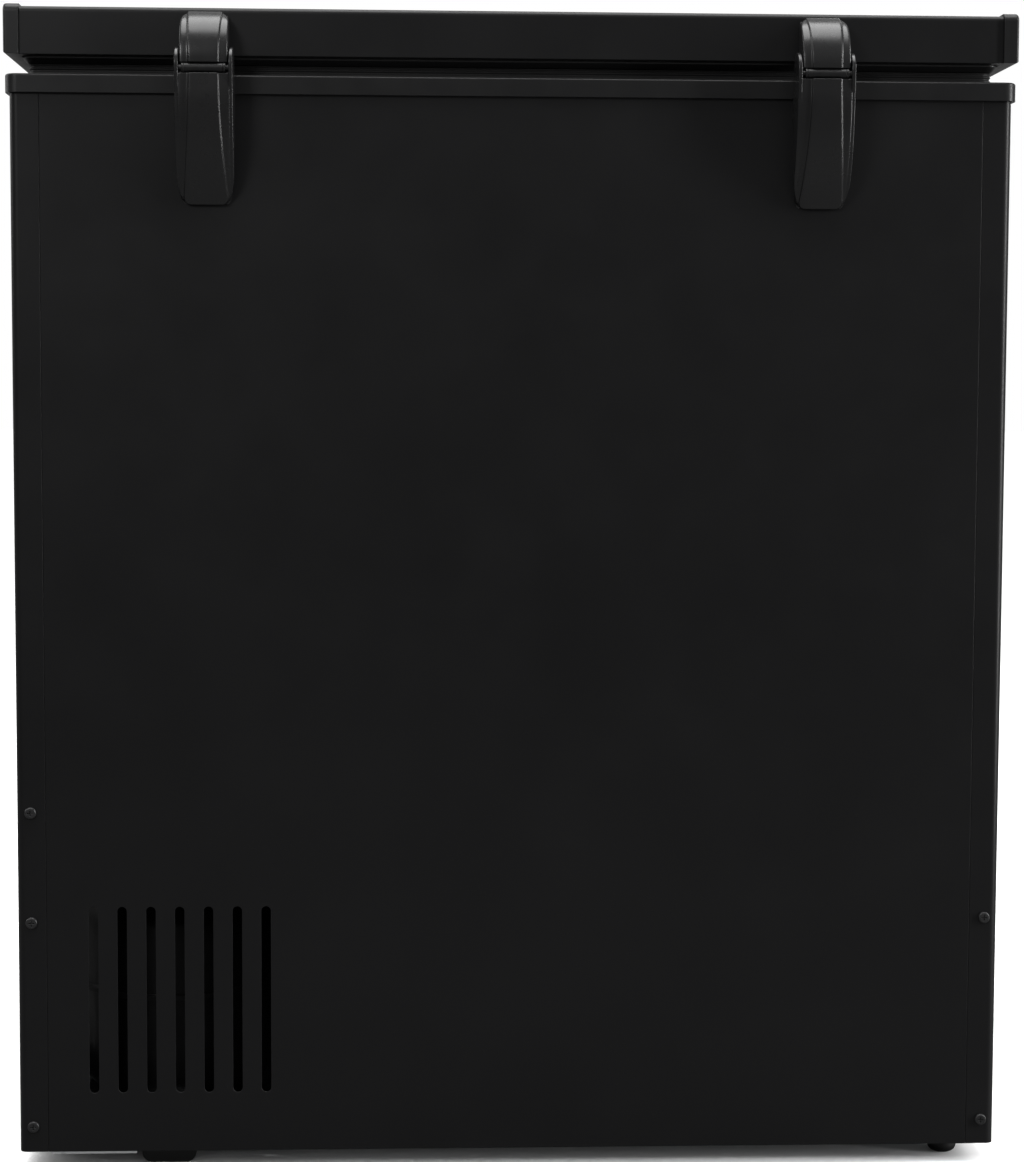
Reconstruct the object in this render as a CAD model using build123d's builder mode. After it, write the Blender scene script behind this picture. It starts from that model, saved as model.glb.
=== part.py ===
from build123d import *
import os

# Chest freezer. Millimetres, +Z up, floor at Z = 0, front at -Y, hinges at +Y.
# The origin is on the floor, at the middle of the whole object's width and depth.

os.makedirs("parts", exist_ok=True)

# ---- Overall sizes ----
BODY_W = 726.0  # cabinet, side to side
BODY_D = 520.0  # cabinet, front face to back panel
CABINET_H = 774.0  # visible height of the sheet cabinet
FOOT_H = 15.0
TRIM_H = 13.4
SEAL_GAP = 13.6  # between the top trim and the lid, filled by the gasket
LID_H = 34.0
OVERHANG = 3.0  # lid and trim beyond the cabinet's faces
HANDLE_OUT = 20.0
HINGE_OUT = 30.0
SHEET = 0.8
FIT = 0.2  # clearance between foam and what it fills
LOOSE = 0.3  # clearance between separate mouldings

# ---- Heights and depths worked out from them ----
TRIM_Z0 = FOOT_H + CABINET_H
TRIM_Z1 = TRIM_Z0 + TRIM_H
LID_Z0 = TRIM_Z1 + SEAL_GAP
LID_Z1 = LID_Z0 + LID_H
FRONT = (OVERHANG + HANDLE_OUT - HINGE_OUT - BODY_D) / 2
BACK = FRONT + BODY_D
MID_Y = (FRONT + BACK) / 2
HALF_W = BODY_W / 2
INNER_W = HALF_W - SHEET  # inner face of a side sheet
LID_FRONT = FRONT - OVERHANG
LID_BACK = BACK + OVERHANG
LID_W = BODY_W + 2 * OVERHANG
CORNER_R = 6.0  # front corners of the cabinet

# ---- Insulation, tub and compressor compartment ----
WALL = 62.0  # insulation thickness
COMP_W = 211.0  # compressor compartment, from the +X side
COMP_H = 247.0
COMP_X = HALF_W - COMP_W
COMP_Z = FOOT_H + COMP_H
TUB_X = HALF_W - WALL
TUB_Z = FOOT_H + WALL
STEP_X = COMP_X - WALL
STEP_Z = COMP_Z + WALL
TUB_R = 20.0
TUB_SIDE_R = 25.0
LINER_T = 0.8

# ---- Top trim: a frame with a sealing web, a step down and an inner lip ----
TRIM_T = 2.2
LEDGE_DROP = 14.4  # basket ledge below the sealing face
STEP_INSET = WALL - 9.0
LIP_INSET = WALL + LINER_T + LOOSE
LIP_T = 2.0
LEDGE_Z = TRIM_Z1 - LEDGE_DROP
LIP_H = 16.0
LIP_R = TUB_SIDE_R - LIP_T + 1.0
LEDGE_R = TUB_SIDE_R + 9.0

# ---- Rear panel, slots and screws ----
FLANGE = 21.2
SEAM = 0.3
TAB_W = 16.0  # joggled edge under the flange
TAB_LAP = 3.0
SLOT_N = 7
SLOT_W = 6.9
SLOT_PITCH = 21.1
SLOT_X = HALF_W - 118.6  # middle of the row of slots
SLOT_Z0 = 59.0
SLOT_Z1 = 198.0
SCREW_INSET = 10.4  # flange screws, from the cabinet's side
SCREW_R = 1.9
SCREW_HOLE_R = 2.1
HEAD_R = 4.3
HEAD_H = 2.4
REAR_SCREWS = [
    (HALF_W - SCREW_INSET, FOOT_H + 19.0),
    (HALF_W - SCREW_INSET, FOOT_H + 171.5),
    (HALF_W - SCREW_INSET, FOOT_H + 253.0),
    (-HALF_W + SCREW_INSET, FOOT_H + 18.5),
    (-HALF_W + SCREW_INSET, FOOT_H + 172.0),
]

# ---- Tubes ----
TUBE_R = 4.0
CAPILLARY_R = 1.5
EVAPORATOR_TURNS = 5
EVAPORATOR_PITCH = 80.0
EVAPORATOR_TOP = TRIM_Z0 - 49.0
CONDENSER_TURNS = 3
CONDENSER_PITCH = 130.0
CONDENSER_TOP = TRIM_Z0 - 95.0
JOIN_Z = COMP_Z - 12.0  # where the coils' ends meet the compartment's tubes

# ---- Hinges ----
HINGE_X = HALF_W - 141.0
PIN_R = 2.0
PIN_GAP = 0.06
KNUCKLE_R = 3.5
AXLE_Z = TRIM_Z1 + 2.1
COVER_W = 41.2  # lower cover, over its cheeks
CHEEK_T = 2.8
COVER_T = 2.0
UPPER_W = COVER_W - 2 * CHEEK_T - 2 * LOOSE
BRACKET_W = UPPER_W - 4.0
BRACKET_T = 1.5
LEAF_W = BRACKET_W - 2 * BRACKET_T - 2 * LOOSE
COVER_DROP = 95.0  # lower cover's end, below the axle
HINGE_SCREW_Z = (AXLE_Z - 78.0, AXLE_Z - 28.0)
LEAF_SCREW_Z = (LID_Z0 + 9.0, LID_Z0 + 22.0)

# ---- Lid ----
CAP_W = 11.0
CAP_PROUD = 1.8
CAP_REACH = 10.0  # the cap's tongue inside the sheet
SKIN_HALF = LID_W / 2 - CAP_W
LID_RETURN = 14.0
LID_R = 4.0
RIM_H = 5.0
PLUG_INSET = WALL + 3.0
PLUG_DROP = 14.0  # below the rim
LINER_WALL = 1.8
SEAL_INSET = 15.0
SEAL_W = 20.0

# ---- Basket ----
BASKET_W = 216.0
BASKET_H = 200.0
BASKET_X = HALF_W - 183.0
BASKET_GAP = 8.0
WIRE_R = 1.6
RIM_R = 2.5
HOOPS = 7
STRINGERS = 9
BASKET_R = 24.0

# ---- Drain, controls, feet ----
DRAIN_X = -HALF_W + 213.0
DRAIN_Y = FRONT + 120.0
DRAIN_Z = FOOT_H + WALL / 2
DRAIN_R = 9.0
DRAIN_BORE_R = 7.0
DRAIN_BEND = 16.0
STOPPER_L = TUB_Z - DRAIN_Z - DRAIN_BEND - 3.0  # it ends above the tube's bend
STOPPER_GAP = 0.1
PANEL_X = HALF_W - COMP_W / 2 + 0.5
PANEL_Z = 190.0
PANEL_W = 150.0
PANEL_H = 66.0
KNOB_X = PANEL_X + 34.0
KNOB_R = 20.0
SPINDLE_R = 3.0
LAMP_R = 3.0
LAMP_X = (PANEL_X - 52.0, PANEL_X - 34.0, PANEL_X - 16.0)
FOOT_X = HALF_W - 32.0
FOOT_IN = 34.0
PAD_X = HALF_W - 108.0
PAD_W = 40.0
PAD_D = 32.0
PAD_IN = 38.0
MOTOR_X = HALF_W - COMP_W / 2 + 0.5
MOTOR_Y = BACK - 140.0
MOTOR_A = 76.0
MOTOR_B = 96.0
MOTOR_H = 165.0
TRAY_T = 1.2
TRAY_Z1 = FOOT_H + TRAY_T
GROMMET_H = 16.0
MOUNT_X = 52.0
MOUNT_Y = 110.0


def save(part, name):
    part.label = name
    export_step(part, f"parts/{name}.step")


def plate(z, x0, x1, y0, y1, radius=0.0):
    """A flat rectangle at height z, its corners rounded where a radius is given."""
    with BuildSketch(Plane.XY.offset(z)) as flat:
        with Locations(((x0 + x1) / 2, (y0 + y1) / 2)):
            if radius:
                RectangleRounded(x1 - x0, y1 - y0, radius)
            else:
                Rectangle(x1 - x0, y1 - y0)
    return flat.sketch


def ring(z, outer, inner, r_outer, r_inner):
    """A flat rectangular ring. Both insets are measured inwards from the cabinet's faces."""
    with BuildSketch(Plane.XY.offset(z)) as flat:
        with Locations((0, MID_Y)):
            RectangleRounded(BODY_W - 2 * outer, BODY_D - 2 * outer, r_outer)
            RectangleRounded(BODY_W - 2 * inner, BODY_D - 2 * inner, r_inner, mode=Mode.SUBTRACT)
    return flat.sketch


def tub(grow, top):
    """The tub's solid shape, with its step over the compressor, grown by a clearance."""
    x, z = TUB_X + grow, TUB_Z - grow
    step_x, step_z = STEP_X + grow, STEP_Z - grow
    y0, y1 = FRONT + WALL - grow, BACK - WALL + grow
    with BuildPart() as shape:
        with BuildSketch(Plane.XZ.offset(-y1)) as side:
            with BuildLine():
                Polyline((-x, top), (-x, z), (step_x, z), (step_x, step_z), (x, step_z), (x, top), close=True)
            make_face()
            fillet([v for v in side.vertices() if v.Y < top - 1], TUB_R)
        extrude(amount=y1 - y0)
        ends = shape.edges().group_by(Axis.Y)
        fillet([e for e in ends[0] + ends[-1] if e.center().Z < top - 1], TUB_SIDE_R)
    return shape.part


def rod(points, radius, bend):
    """A round wire or tube along straight runs joined by tangent arcs."""
    with BuildPart() as wire:
        with BuildLine() as route:
            FilletPolyline(*points, radius=bend)
        start = route.line.edges()[0]
        with BuildSketch(Plane(origin=start @ 0, z_dir=start % 0)):
            Circle(radius)
        sweep()
    return wire.part


def wound_points(x, y0, y1, top, pitch, turns, riser, outlet_y):
    """A coil's route: up its riser, round and round the cabinet, and down to its outlet."""
    points = [(riser[0], riser[1], JOIN_Z), (riser[0], riser[1], top)]
    for turn in range(turns):
        z = top - turn * pitch
        points += [(x, y0, z), (-x, y0, z), (-x, y1, z), (x, y1, z)]
    last = top - (turns - 1) * pitch
    return points + [(x, outlet_y, last - pitch / 2), (x, outlet_y, JOIN_Z)]


def pan_screw(plane, length):
    """A pan-head screw with a cross recess, its head standing on the plane."""
    with BuildPart() as screw:
        with BuildSketch(plane):
            Circle(HEAD_R)
        extrude(amount=HEAD_H)
        top = screw.faces().sort_by(Axis(plane.origin, plane.z_dir))[-1]
        fillet(top.edges(), 1.2)
        with BuildSketch(plane):
            Circle(SCREW_R)
        extrude(amount=-length)
        with BuildSketch(plane.offset(HEAD_H)):
            Rectangle(4.4, 0.9)
            Rectangle(0.9, 4.4)
        extrude(amount=-1.4, mode=Mode.SUBTRACT)
    return screw.part


def drill(plane, radius, depth):
    """The space of a round hole that goes into the plane."""
    with BuildPart() as hole:
        with BuildSketch(plane):
            Circle(radius)
        extrude(amount=-depth)
    return hole.part


def rear_plane(x, z, y=BACK):
    return Plane(origin=(x, y, z), x_dir=(1, 0, 0), z_dir=(0, 1, 0))


def front_plane(x, z, y=FRONT):
    return Plane(origin=(x, y, z), x_dir=(1, 0, 0), z_dir=(0, -1, 0))


def slot_row(plane, middle):
    """The vent slots, cut through a sheet whose outer face is the plane."""
    with BuildPart() as cut:
        with BuildSketch(plane):
            with Locations((middle, (SLOT_Z0 + SLOT_Z1) / 2 - FOOT_H)):
                with GridLocations(SLOT_PITCH, 1, SLOT_N, 1):
                    SlotOverall(SLOT_Z1 - SLOT_Z0, SLOT_W, rotation=90)
        extrude(amount=-3 * SHEET)
    return cut.part


REAR_FACE = Plane(origin=(0, BACK, FOOT_H), x_dir=(-1, 0, 0), z_dir=(0, 1, 0))
SIDE_FACE = Plane(origin=(HALF_W, 0, FOOT_H), x_dir=(0, 1, 0), z_dir=(1, 0, 0))

hinge_screws = [
    rear_plane(sign * HINGE_X + dx, z, BACK + BRACKET_T)
    for sign in (-1, 1)
    for dx in (-8.0, 8.0)
    for z in HINGE_SCREW_Z
]
flange_screws = [rear_plane(x, z) for x, z in REAR_SCREWS]
leaf_screws = [
    rear_plane(sign * HINGE_X + dx, z, LID_BACK + BRACKET_T)
    for sign in (-1, 1)
    for dx in (-6.0, 6.0)
    for z in LEAF_SCREW_Z
]

# ================= Cabinet =================
WRAP_Z1 = TRIM_Z1 - TRIM_T - LOOSE
with BuildPart() as cabinet_wrap:
    extrude(ring(FOOT_H, 0, SHEET, CORNER_R, CORNER_R - SHEET), amount=WRAP_Z1 - FOOT_H)
    back_opening = plate(FOOT_H, -HALF_W + FLANGE, HALF_W - FLANGE, BACK - 2 * SHEET, BACK + 2 * SHEET)
    extrude(back_opening, amount=WRAP_Z1 - FOOT_H, mode=Mode.SUBTRACT)
    add(slot_row(SIDE_FACE, BACK - 150.0), mode=Mode.SUBTRACT)
    with BuildSketch(front_plane(PANEL_X, PANEL_Z)):
        Rectangle(PANEL_W - 20, PANEL_H - 16)
    extrude(amount=-2 * SHEET, mode=Mode.SUBTRACT)
    add(drill(front_plane(DRAIN_X, DRAIN_Z), DRAIN_R + FIT, 2 * SHEET), mode=Mode.SUBTRACT)
    for place in flange_screws:
        add(drill(place, SCREW_HOLE_R, 2 * SHEET), mode=Mode.SUBTRACT)
save(cabinet_wrap.part, "cabinet_wrap")

PANEL_HALF = HALF_W - FLANGE - SEAM
with BuildPart() as back_panel:
    with BuildSketch(Plane.XY.offset(FOOT_H)):
        with Locations((0, BACK - SHEET / 2)):
            Rectangle(2 * PANEL_HALF, SHEET)
        for sign in (-1, 1):
            with Locations((sign * (PANEL_HALF + TAB_W / 2 - TAB_LAP), BACK - 1.5 * SHEET)):
                Rectangle(TAB_W, SHEET)
    extrude(amount=WRAP_Z1 - FOOT_H)
    add(slot_row(REAR_FACE, -SLOT_X), mode=Mode.SUBTRACT)
    for place in flange_screws + hinge_screws:
        add(drill(place, SCREW_HOLE_R, 6 * SHEET), mode=Mode.SUBTRACT)
save(back_panel.part, "back_panel")

INSIDE_X = INNER_W - FIT
INSIDE_Y0 = FRONT + SHEET + FIT
INSIDE_Y1 = BACK - 2 * SHEET - FIT
with BuildPart() as base_plate:
    extrude(plate(FOOT_H, -INSIDE_X, COMP_X - LOOSE, INSIDE_Y0, INSIDE_Y1), amount=SHEET)
    corner = [e for e in base_plate.edges().filter_by(Axis.Z) if e.center().X < 0]
    fillet(corner, CORNER_R)
save(base_plate.part, "base_plate")

with BuildPart() as compressor_tray:
    extrude(plate(FOOT_H, COMP_X + SHEET, INSIDE_X, INSIDE_Y0, INSIDE_Y1), amount=TRAY_T)
    fillet([e for e in compressor_tray.edges().filter_by(Axis.Z) if e.center().X > COMP_X + 5], CORNER_R)
    lip_x0 = PAD_X + PAD_W / 2 + 2
    extrude(plate(FOOT_H, lip_x0, HALF_W - FLANGE - 2, INSIDE_Y1 - TRAY_T, INSIDE_Y1), amount=-2.2)
    with Locations((MOTOR_X, FRONT + 190, TRAY_Z1)):
        with GridLocations(30, 22, 4, 5):
            Hole(6, depth=TRAY_T)
    with Locations((COMP_X + 30, BACK - 30, TRAY_Z1)):
        Hole(7, depth=TRAY_T)
    with Locations((MOTOR_X, MOTOR_Y, TRAY_Z1)):
        with GridLocations(2 * MOUNT_X, 2 * MOUNT_Y, 2, 2):
            Hole(3, depth=TRAY_T)
save(compressor_tray.part, "compressor_tray")

# Coils, whose grooves the foam is filled round
EVAP_X = TUB_X + FIT + TUBE_R
EVAP_Y0 = FRONT + WALL - FIT - TUBE_R
EVAP_Y1 = BACK - WALL + FIT + TUBE_R
COND_X = INNER_W - FIT - TUBE_R
COND_Y0 = FRONT + SHEET + FIT + TUBE_R
COND_Y1 = BACK - 2 * SHEET - FIT - TUBE_R
SUCTION_AT = (EVAP_X + 20.0, -60.0)
DISCHARGE_AT = (COND_X - 16.0, -95.0)
LIQUID_AT = (COND_X, -130.0)
CAPILLARY_AT = (EVAP_X, -160.0)
evaporator_route = wound_points(
    EVAP_X, EVAP_Y0, EVAP_Y1, EVAPORATOR_TOP, EVAPORATOR_PITCH, EVAPORATOR_TURNS, SUCTION_AT, CAPILLARY_AT[1]
)
condenser_route = wound_points(
    COND_X, COND_Y0, COND_Y1, CONDENSER_TOP, CONDENSER_PITCH, CONDENSER_TURNS, DISCHARGE_AT, LIQUID_AT[1]
)
EVAP_BEND = TUB_SIDE_R + FIT + TUBE_R - LOOSE
COND_BEND = 25.0
evaporator_coil = rod(evaporator_route, TUBE_R, EVAP_BEND)
save(evaporator_coil, "evaporator_coil")
condenser_coil = rod(condenser_route, TUBE_R, COND_BEND)
save(condenser_coil, "condenser_coil")

PASSAGES = (SUCTION_AT, DISCHARGE_AT, LIQUID_AT, CAPILLARY_AT)
with BuildPart() as machine_room_plate:
    extrude(plate(FOOT_H + SHEET, COMP_X, COMP_X + SHEET, INSIDE_Y0, INSIDE_Y1), amount=COMP_H - SHEET)
    extrude(plate(COMP_Z, COMP_X, INSIDE_X, INSIDE_Y0, INSIDE_Y1), amount=SHEET)
    fillet([e for e in machine_room_plate.edges().filter_by(Axis.Z) if e.center().X > INSIDE_X - 1], CORNER_R)
    with Locations(*[(x, y, COMP_Z + SHEET) for x, y in PASSAGES]):
        Hole(TUBE_R + FIT, depth=SHEET)
save(machine_room_plate.part, "machine_room_plate")

drain_route = [(DRAIN_X, DRAIN_Y, TUB_Z + LINER_T), (DRAIN_X, DRAIN_Y, DRAIN_Z), (DRAIN_X, FRONT, DRAIN_Z)]
with BuildPart() as drain_tube:
    add(rod(drain_route, DRAIN_R, DRAIN_BEND))
    add(rod(drain_route, DRAIN_BORE_R, DRAIN_BEND), mode=Mode.SUBTRACT)
save(drain_tube.part, "drain_tube")

# Foam fills all that the sheets enclose
FOAM_Z1 = TRIM_Z1 - TRIM_T - LOOSE
with BuildPart() as cabinet_foam:
    foam_z0 = FOOT_H + SHEET + FIT
    extrude(plate(foam_z0, -INSIDE_X, INSIDE_X, INSIDE_Y0, INSIDE_Y1), amount=FOAM_Z1 - foam_z0)
    fillet(cabinet_foam.edges().filter_by(Axis.Z), CORNER_R)
    add(tub(FIT, FOAM_Z1 + 5), mode=Mode.SUBTRACT)
    ledge_hole = plate(
        LEDGE_Z - TRIM_T - LINER_T - FIT,
        -HALF_W + STEP_INSET - FIT,
        HALF_W - STEP_INSET + FIT,
        FRONT + STEP_INSET - FIT,
        BACK - STEP_INSET + FIT,
        LEDGE_R - 1,
    )
    extrude(ledge_hole, amount=60, mode=Mode.SUBTRACT)
    comp_hole = plate(FOOT_H, COMP_X - FIT, HALF_W, FRONT, BACK)
    extrude(comp_hole, amount=COMP_H + SHEET + FIT, mode=Mode.SUBTRACT)
    band = 2 * (TUBE_R + FIT)
    for z1, turns, pitch, outer, inner, bend in (
        (EVAPORATOR_TOP, EVAPORATOR_TURNS, EVAPORATOR_PITCH, WALL - band, WALL + 5, EVAP_BEND),
        (CONDENSER_TOP, CONDENSER_TURNS, CONDENSER_PITCH, -5, SHEET + band + SHEET, COND_BEND),
    ):
        height = (turns - 0.5) * pitch + 4 * TUBE_R + bend
        recess = ring(z1 + 2 * TUBE_R, outer, inner, bend - 2 * TUBE_R, bend + 2 * TUBE_R)
        extrude(recess, amount=-height, mode=Mode.SUBTRACT)
    for route, bend in ((evaporator_route, EVAP_BEND), (condenser_route, COND_BEND)):
        add(rod(route[:3], TUBE_R + FIT, bend), mode=Mode.SUBTRACT)
        top_x, top_y, top_z = route[-2]
        add(drill(Plane(origin=(top_x, top_y, top_z)), TUBE_R + FIT, top_z - JOIN_Z), mode=Mode.SUBTRACT)
    add(rod(drain_route, DRAIN_R + FIT, DRAIN_BEND), mode=Mode.SUBTRACT)
    for place in flange_screws + hinge_screws:
        add(drill(place, SCREW_HOLE_R, 13), mode=Mode.SUBTRACT)
save(cabinet_foam.part, "cabinet_foam")

with BuildPart() as inner_liner:
    add(tub(0, LEDGE_Z - TRIM_T))
    rim = plate(
        LEDGE_Z - TRIM_T - LINER_T,
        -HALF_W + STEP_INSET, HALF_W - STEP_INSET, FRONT + STEP_INSET, BACK - STEP_INSET,
        LEDGE_R,
    )
    extrude(rim, amount=LINER_T)
    add(tub(-LINER_T, LEDGE_Z + 5), mode=Mode.SUBTRACT)
    with Locations((DRAIN_X, DRAIN_Y, TUB_Z + LINER_T)):
        Hole(DRAIN_R + FIT, depth=LINER_T)
save(inner_liner.part, "inner_liner")

with BuildPart() as top_trim:
    skin_r = CORNER_R + OVERHANG
    extrude(ring(TRIM_Z0, -OVERHANG, -LOOSE, skin_r, CORNER_R + LOOSE), amount=TRIM_H)
    extrude(ring(TRIM_Z1 - TRIM_T, -OVERHANG, STEP_INSET + TRIM_T, skin_r, LEDGE_R - TRIM_T), amount=TRIM_T)
    extrude(ring(LEDGE_Z - TRIM_T, STEP_INSET, STEP_INSET + TRIM_T, LEDGE_R, LEDGE_R - TRIM_T),
            amount=LEDGE_DROP + TRIM_T)
    extrude(ring(LEDGE_Z - TRIM_T, STEP_INSET, LIP_INSET + LIP_T, LEDGE_R, LIP_R), amount=TRIM_T)
    extrude(ring(LEDGE_Z - LIP_H, LIP_INSET, LIP_INSET + LIP_T, LIP_R + LIP_T, LIP_R), amount=LIP_H)
    fillet(top_trim.faces().sort_by(Axis.Z)[-1].outer_wire().edges(), 1.6)
save(top_trim.part, "top_trim")

with BuildPart() as back_panel_screws:
    for place in flange_screws:
        add(pan_screw(place, 10))
save(back_panel_screws.part, "back_panel_screws")

# ================= Feet =================
def dome_foot(x, y, name):
    """A moulded foot: a short cylinder with a rounded end, on a wider flange."""
    with BuildPart() as foot:
        with BuildSketch():
            with Locations((x, y)):
                Circle(11)
        extrude(amount=FOOT_H)
        fillet(foot.faces().sort_by(Axis.Z)[0].edges(), 6)
        with BuildSketch(Plane.XY.offset(FOOT_H - 2.5)):
            with Locations((x, y)):
                Circle(17)
        extrude(amount=2.5)
    save(foot.part, name)


dome_foot(-FOOT_X, BACK - FOOT_IN, "rear_left_foot")
dome_foot(-FOOT_X, FRONT + FOOT_IN, "front_left_foot")
dome_foot(FOOT_X, FRONT + FOOT_IN, "front_right_foot")
with BuildPart() as rear_right_foot_pad:
    with BuildSketch(Plane.XZ.offset(-(BACK - PAD_IN + PAD_D / 2))) as face:
        with Locations((PAD_X, FOOT_H / 2)):
            Rectangle(PAD_W, FOOT_H)
        fillet(face.vertices().group_by(Axis.Y)[0], 7)
    extrude(amount=PAD_D)
save(rear_right_foot_pad.part, "rear_right_foot_pad")

# ================= Compressor compartment =================
MOUNTS = [(MOTOR_X + i * MOUNT_X, MOTOR_Y + j * MOUNT_Y) for i in (-1, 1) for j in (-1, 1)]
BASE_Z = TRAY_Z1 + GROMMET_H
with BuildPart() as compressor_studs:
    for x, y in MOUNTS:
        with Locations((x, y, FOOT_H - 2)):
            Cylinder(2.8, GROMMET_H + 14, align=(Align.CENTER, Align.CENTER, Align.MIN))
            Cylinder(7, 2, align=(Align.CENTER, Align.CENTER, Align.MIN))
        with Locations((x, y, BASE_Z + 6.6)):
            Cylinder(8, 3, align=(Align.CENTER, Align.CENTER, Align.MIN))
save(compressor_studs.part, "compressor_studs")
with BuildPart() as compressor_grommets:
    for x, y in MOUNTS:
        with Locations((x, y, TRAY_Z1)):
            Cylinder(11, GROMMET_H, align=(Align.CENTER, Align.CENTER, Align.MIN))
            Cylinder(6.8, GROMMET_H + 6.5, align=(Align.CENTER, Align.CENTER, Align.MIN))
            Cylinder(3, 60, mode=Mode.SUBTRACT)
save(compressor_grommets.part, "compressor_grommets")

SHELL_Z = BASE_Z + 3.0
BOSS_Y = MOTOR_Y - MOTOR_B - 8
SUCTION_BOSS = (MOTOR_X - 34, SHELL_Z + 112)
DISCHARGE_BOSS = (MOTOR_X + 36, SHELL_Z + 84)
PROCESS_BOSS = (MOTOR_X, SHELL_Z + 128)
with BuildPart() as compressor:
    with BuildSketch(Plane.XY.offset(SHELL_Z)):
        with Locations((MOTOR_X, MOTOR_Y)):
            Ellipse(MOTOR_A, MOTOR_B)
    extrude(amount=MOTOR_H)
    fillet(compressor.faces().sort_by(Axis.Z)[-1].edges(), 40)
    fillet(compressor.faces().sort_by(Axis.Z)[0].edges(), 22)
    with BuildSketch(Plane.XY.offset(SHELL_Z + MOTOR_H * 0.5)):
        with Locations((MOTOR_X, MOTOR_Y)):
            Ellipse(MOTOR_A + 4, MOTOR_B + 4)
    extrude(amount=4)
    with BuildSketch(Plane.XY.offset(BASE_Z)):
        with Locations((MOTOR_X, MOTOR_Y)):
            RectangleRounded(2 * MOUNT_X + 30, 2 * MOUNT_Y + 30, 14)
            with GridLocations(2 * MOUNT_X, 2 * MOUNT_Y, 2, 2):
                Circle(7, mode=Mode.SUBTRACT)
            with Locations((0, MOUNT_Y), (0, -MOUNT_Y)):
                RectangleRounded(56, 60, 8, mode=Mode.SUBTRACT)
    extrude(amount=3)
    with BuildSketch(Plane.XY.offset(BASE_Z)):
        with Locations((MOTOR_X, MOTOR_Y)):
            Rectangle(90, 90)
    extrude(amount=8)
    for x, z in (SUCTION_BOSS, DISCHARGE_BOSS, PROCESS_BOSS):
        with BuildSketch(front_plane(x, z, BOSS_Y)):
            Circle(6)
        extrude(amount=-70)
    with BuildSketch(front_plane(MOTOR_X, SHELL_Z + 62, BOSS_Y)):
        RectangleRounded(44, 50, 4)
    extrude(amount=-40)
save(compressor.part, "compressor")

with BuildPart() as relay_box:
    with BuildSketch(front_plane(MOTOR_X, SHELL_Z + 62, BOSS_Y)):
        RectangleRounded(52, 62, 5)
    extrude(amount=26)
    fillet(relay_box.faces().sort_by(Axis.Y)[0].edges(), 3)
save(relay_box.part, "relay_box")



def boss_tube(boss, joins_at, bend):
    """A tube from a boss on the compressor, forwards, across and up to the coil's end that it joins."""
    x, z = boss
    return rod([(x, BOSS_Y, z), (x, joins_at[1], z), (*joins_at, z), (*joins_at, JOIN_Z)], TUBE_R, bend)


save(boss_tube(SUCTION_BOSS, SUCTION_AT, 18), "suction_tube")
save(boss_tube(DISCHARGE_BOSS, DISCHARGE_AT, 16), "discharge_tube")
process_x, process_z = PROCESS_BOSS
process_route = [
    (process_x, BOSS_Y, process_z),
    (process_x, BOSS_Y - 22, process_z),
    (process_x, BOSS_Y - 22, process_z + 45),
]
save(rod(process_route, 3.0, 12), "process_tube")

DRIER_X = COND_X - 24.0
DRIER_Z = (COMP_Z - 150.0, COMP_Z - 60.0)
with BuildPart() as filter_drier:
    with BuildSketch(Plane(origin=(DRIER_X, LIQUID_AT[1], 0), x_dir=(1, 0, 0), z_dir=(0, -1, 0))):
        with BuildLine():
            low, high = DRIER_Z
            Polyline((0, low), (TUBE_R, low), (TUBE_R, low + 8), (9.5, low + 16), (9.5, high - 16),
                     (TUBE_R, high - 8), (TUBE_R, high), (0, high), close=True)
        make_face()
    revolve(axis=Axis((DRIER_X, LIQUID_AT[1], 0), (0, 0, 1)))
save(filter_drier.part, "filter_drier")
drier_y = LIQUID_AT[1]
liquid_route = [
    (*LIQUID_AT, JOIN_Z),
    (*LIQUID_AT, JOIN_Z - 22),
    (DRIER_X, drier_y, JOIN_Z - 22),
    (DRIER_X, drier_y, DRIER_Z[1]),
]
save(rod(liquid_route, TUBE_R, 9), "liquid_tube")
capillary_route = [
    (DRIER_X, drier_y, DRIER_Z[0]),
    (DRIER_X, drier_y, DRIER_Z[0] - 24),
    (*CAPILLARY_AT, DRIER_Z[0] - 24),
    (*CAPILLARY_AT, JOIN_Z),
]
save(rod(capillary_route, CAPILLARY_R, 10), "capillary_tube")

with BuildPart() as cord_grommet:
    with Locations((COMP_X + 30, BACK - 30, FOOT_H - 1.5)):
        Cylinder(10, 1.5, align=(Align.CENTER, Align.CENTER, Align.MIN))
        Cylinder(6.8, 8, align=(Align.CENTER, Align.CENTER, Align.MIN))
    with Locations((COMP_X + 30, BACK - 30, TRAY_Z1)):
        Cylinder(10, 2, align=(Align.CENTER, Align.CENTER, Align.MIN))
        Cylinder(4, 60, mode=Mode.SUBTRACT)
save(cord_grommet.part, "cord_grommet")

# ================= Controls =================
with BuildPart() as control_panel:
    with BuildSketch(front_plane(PANEL_X, PANEL_Z)):
        RectangleRounded(PANEL_W, PANEL_H, 10)
    extrude(amount=3)
    fillet(control_panel.faces().sort_by(Axis.Y)[0].edges(), 1.5)
    with BuildSketch(front_plane(PANEL_X, PANEL_Z)):
        Rectangle(PANEL_W - 20.6, PANEL_H - 16.6)
        Rectangle(PANEL_W - 25, PANEL_H - 21, mode=Mode.SUBTRACT)
    extrude(amount=-12)
    add(drill(front_plane(KNOB_X, PANEL_Z, FRONT - 5), SPINDLE_R + 0.5, 20), mode=Mode.SUBTRACT)
    for x in LAMP_X:
        add(drill(front_plane(x, PANEL_Z, FRONT - 5), LAMP_R + 0.1, 20), mode=Mode.SUBTRACT)
save(control_panel.part, "control_panel")

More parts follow.
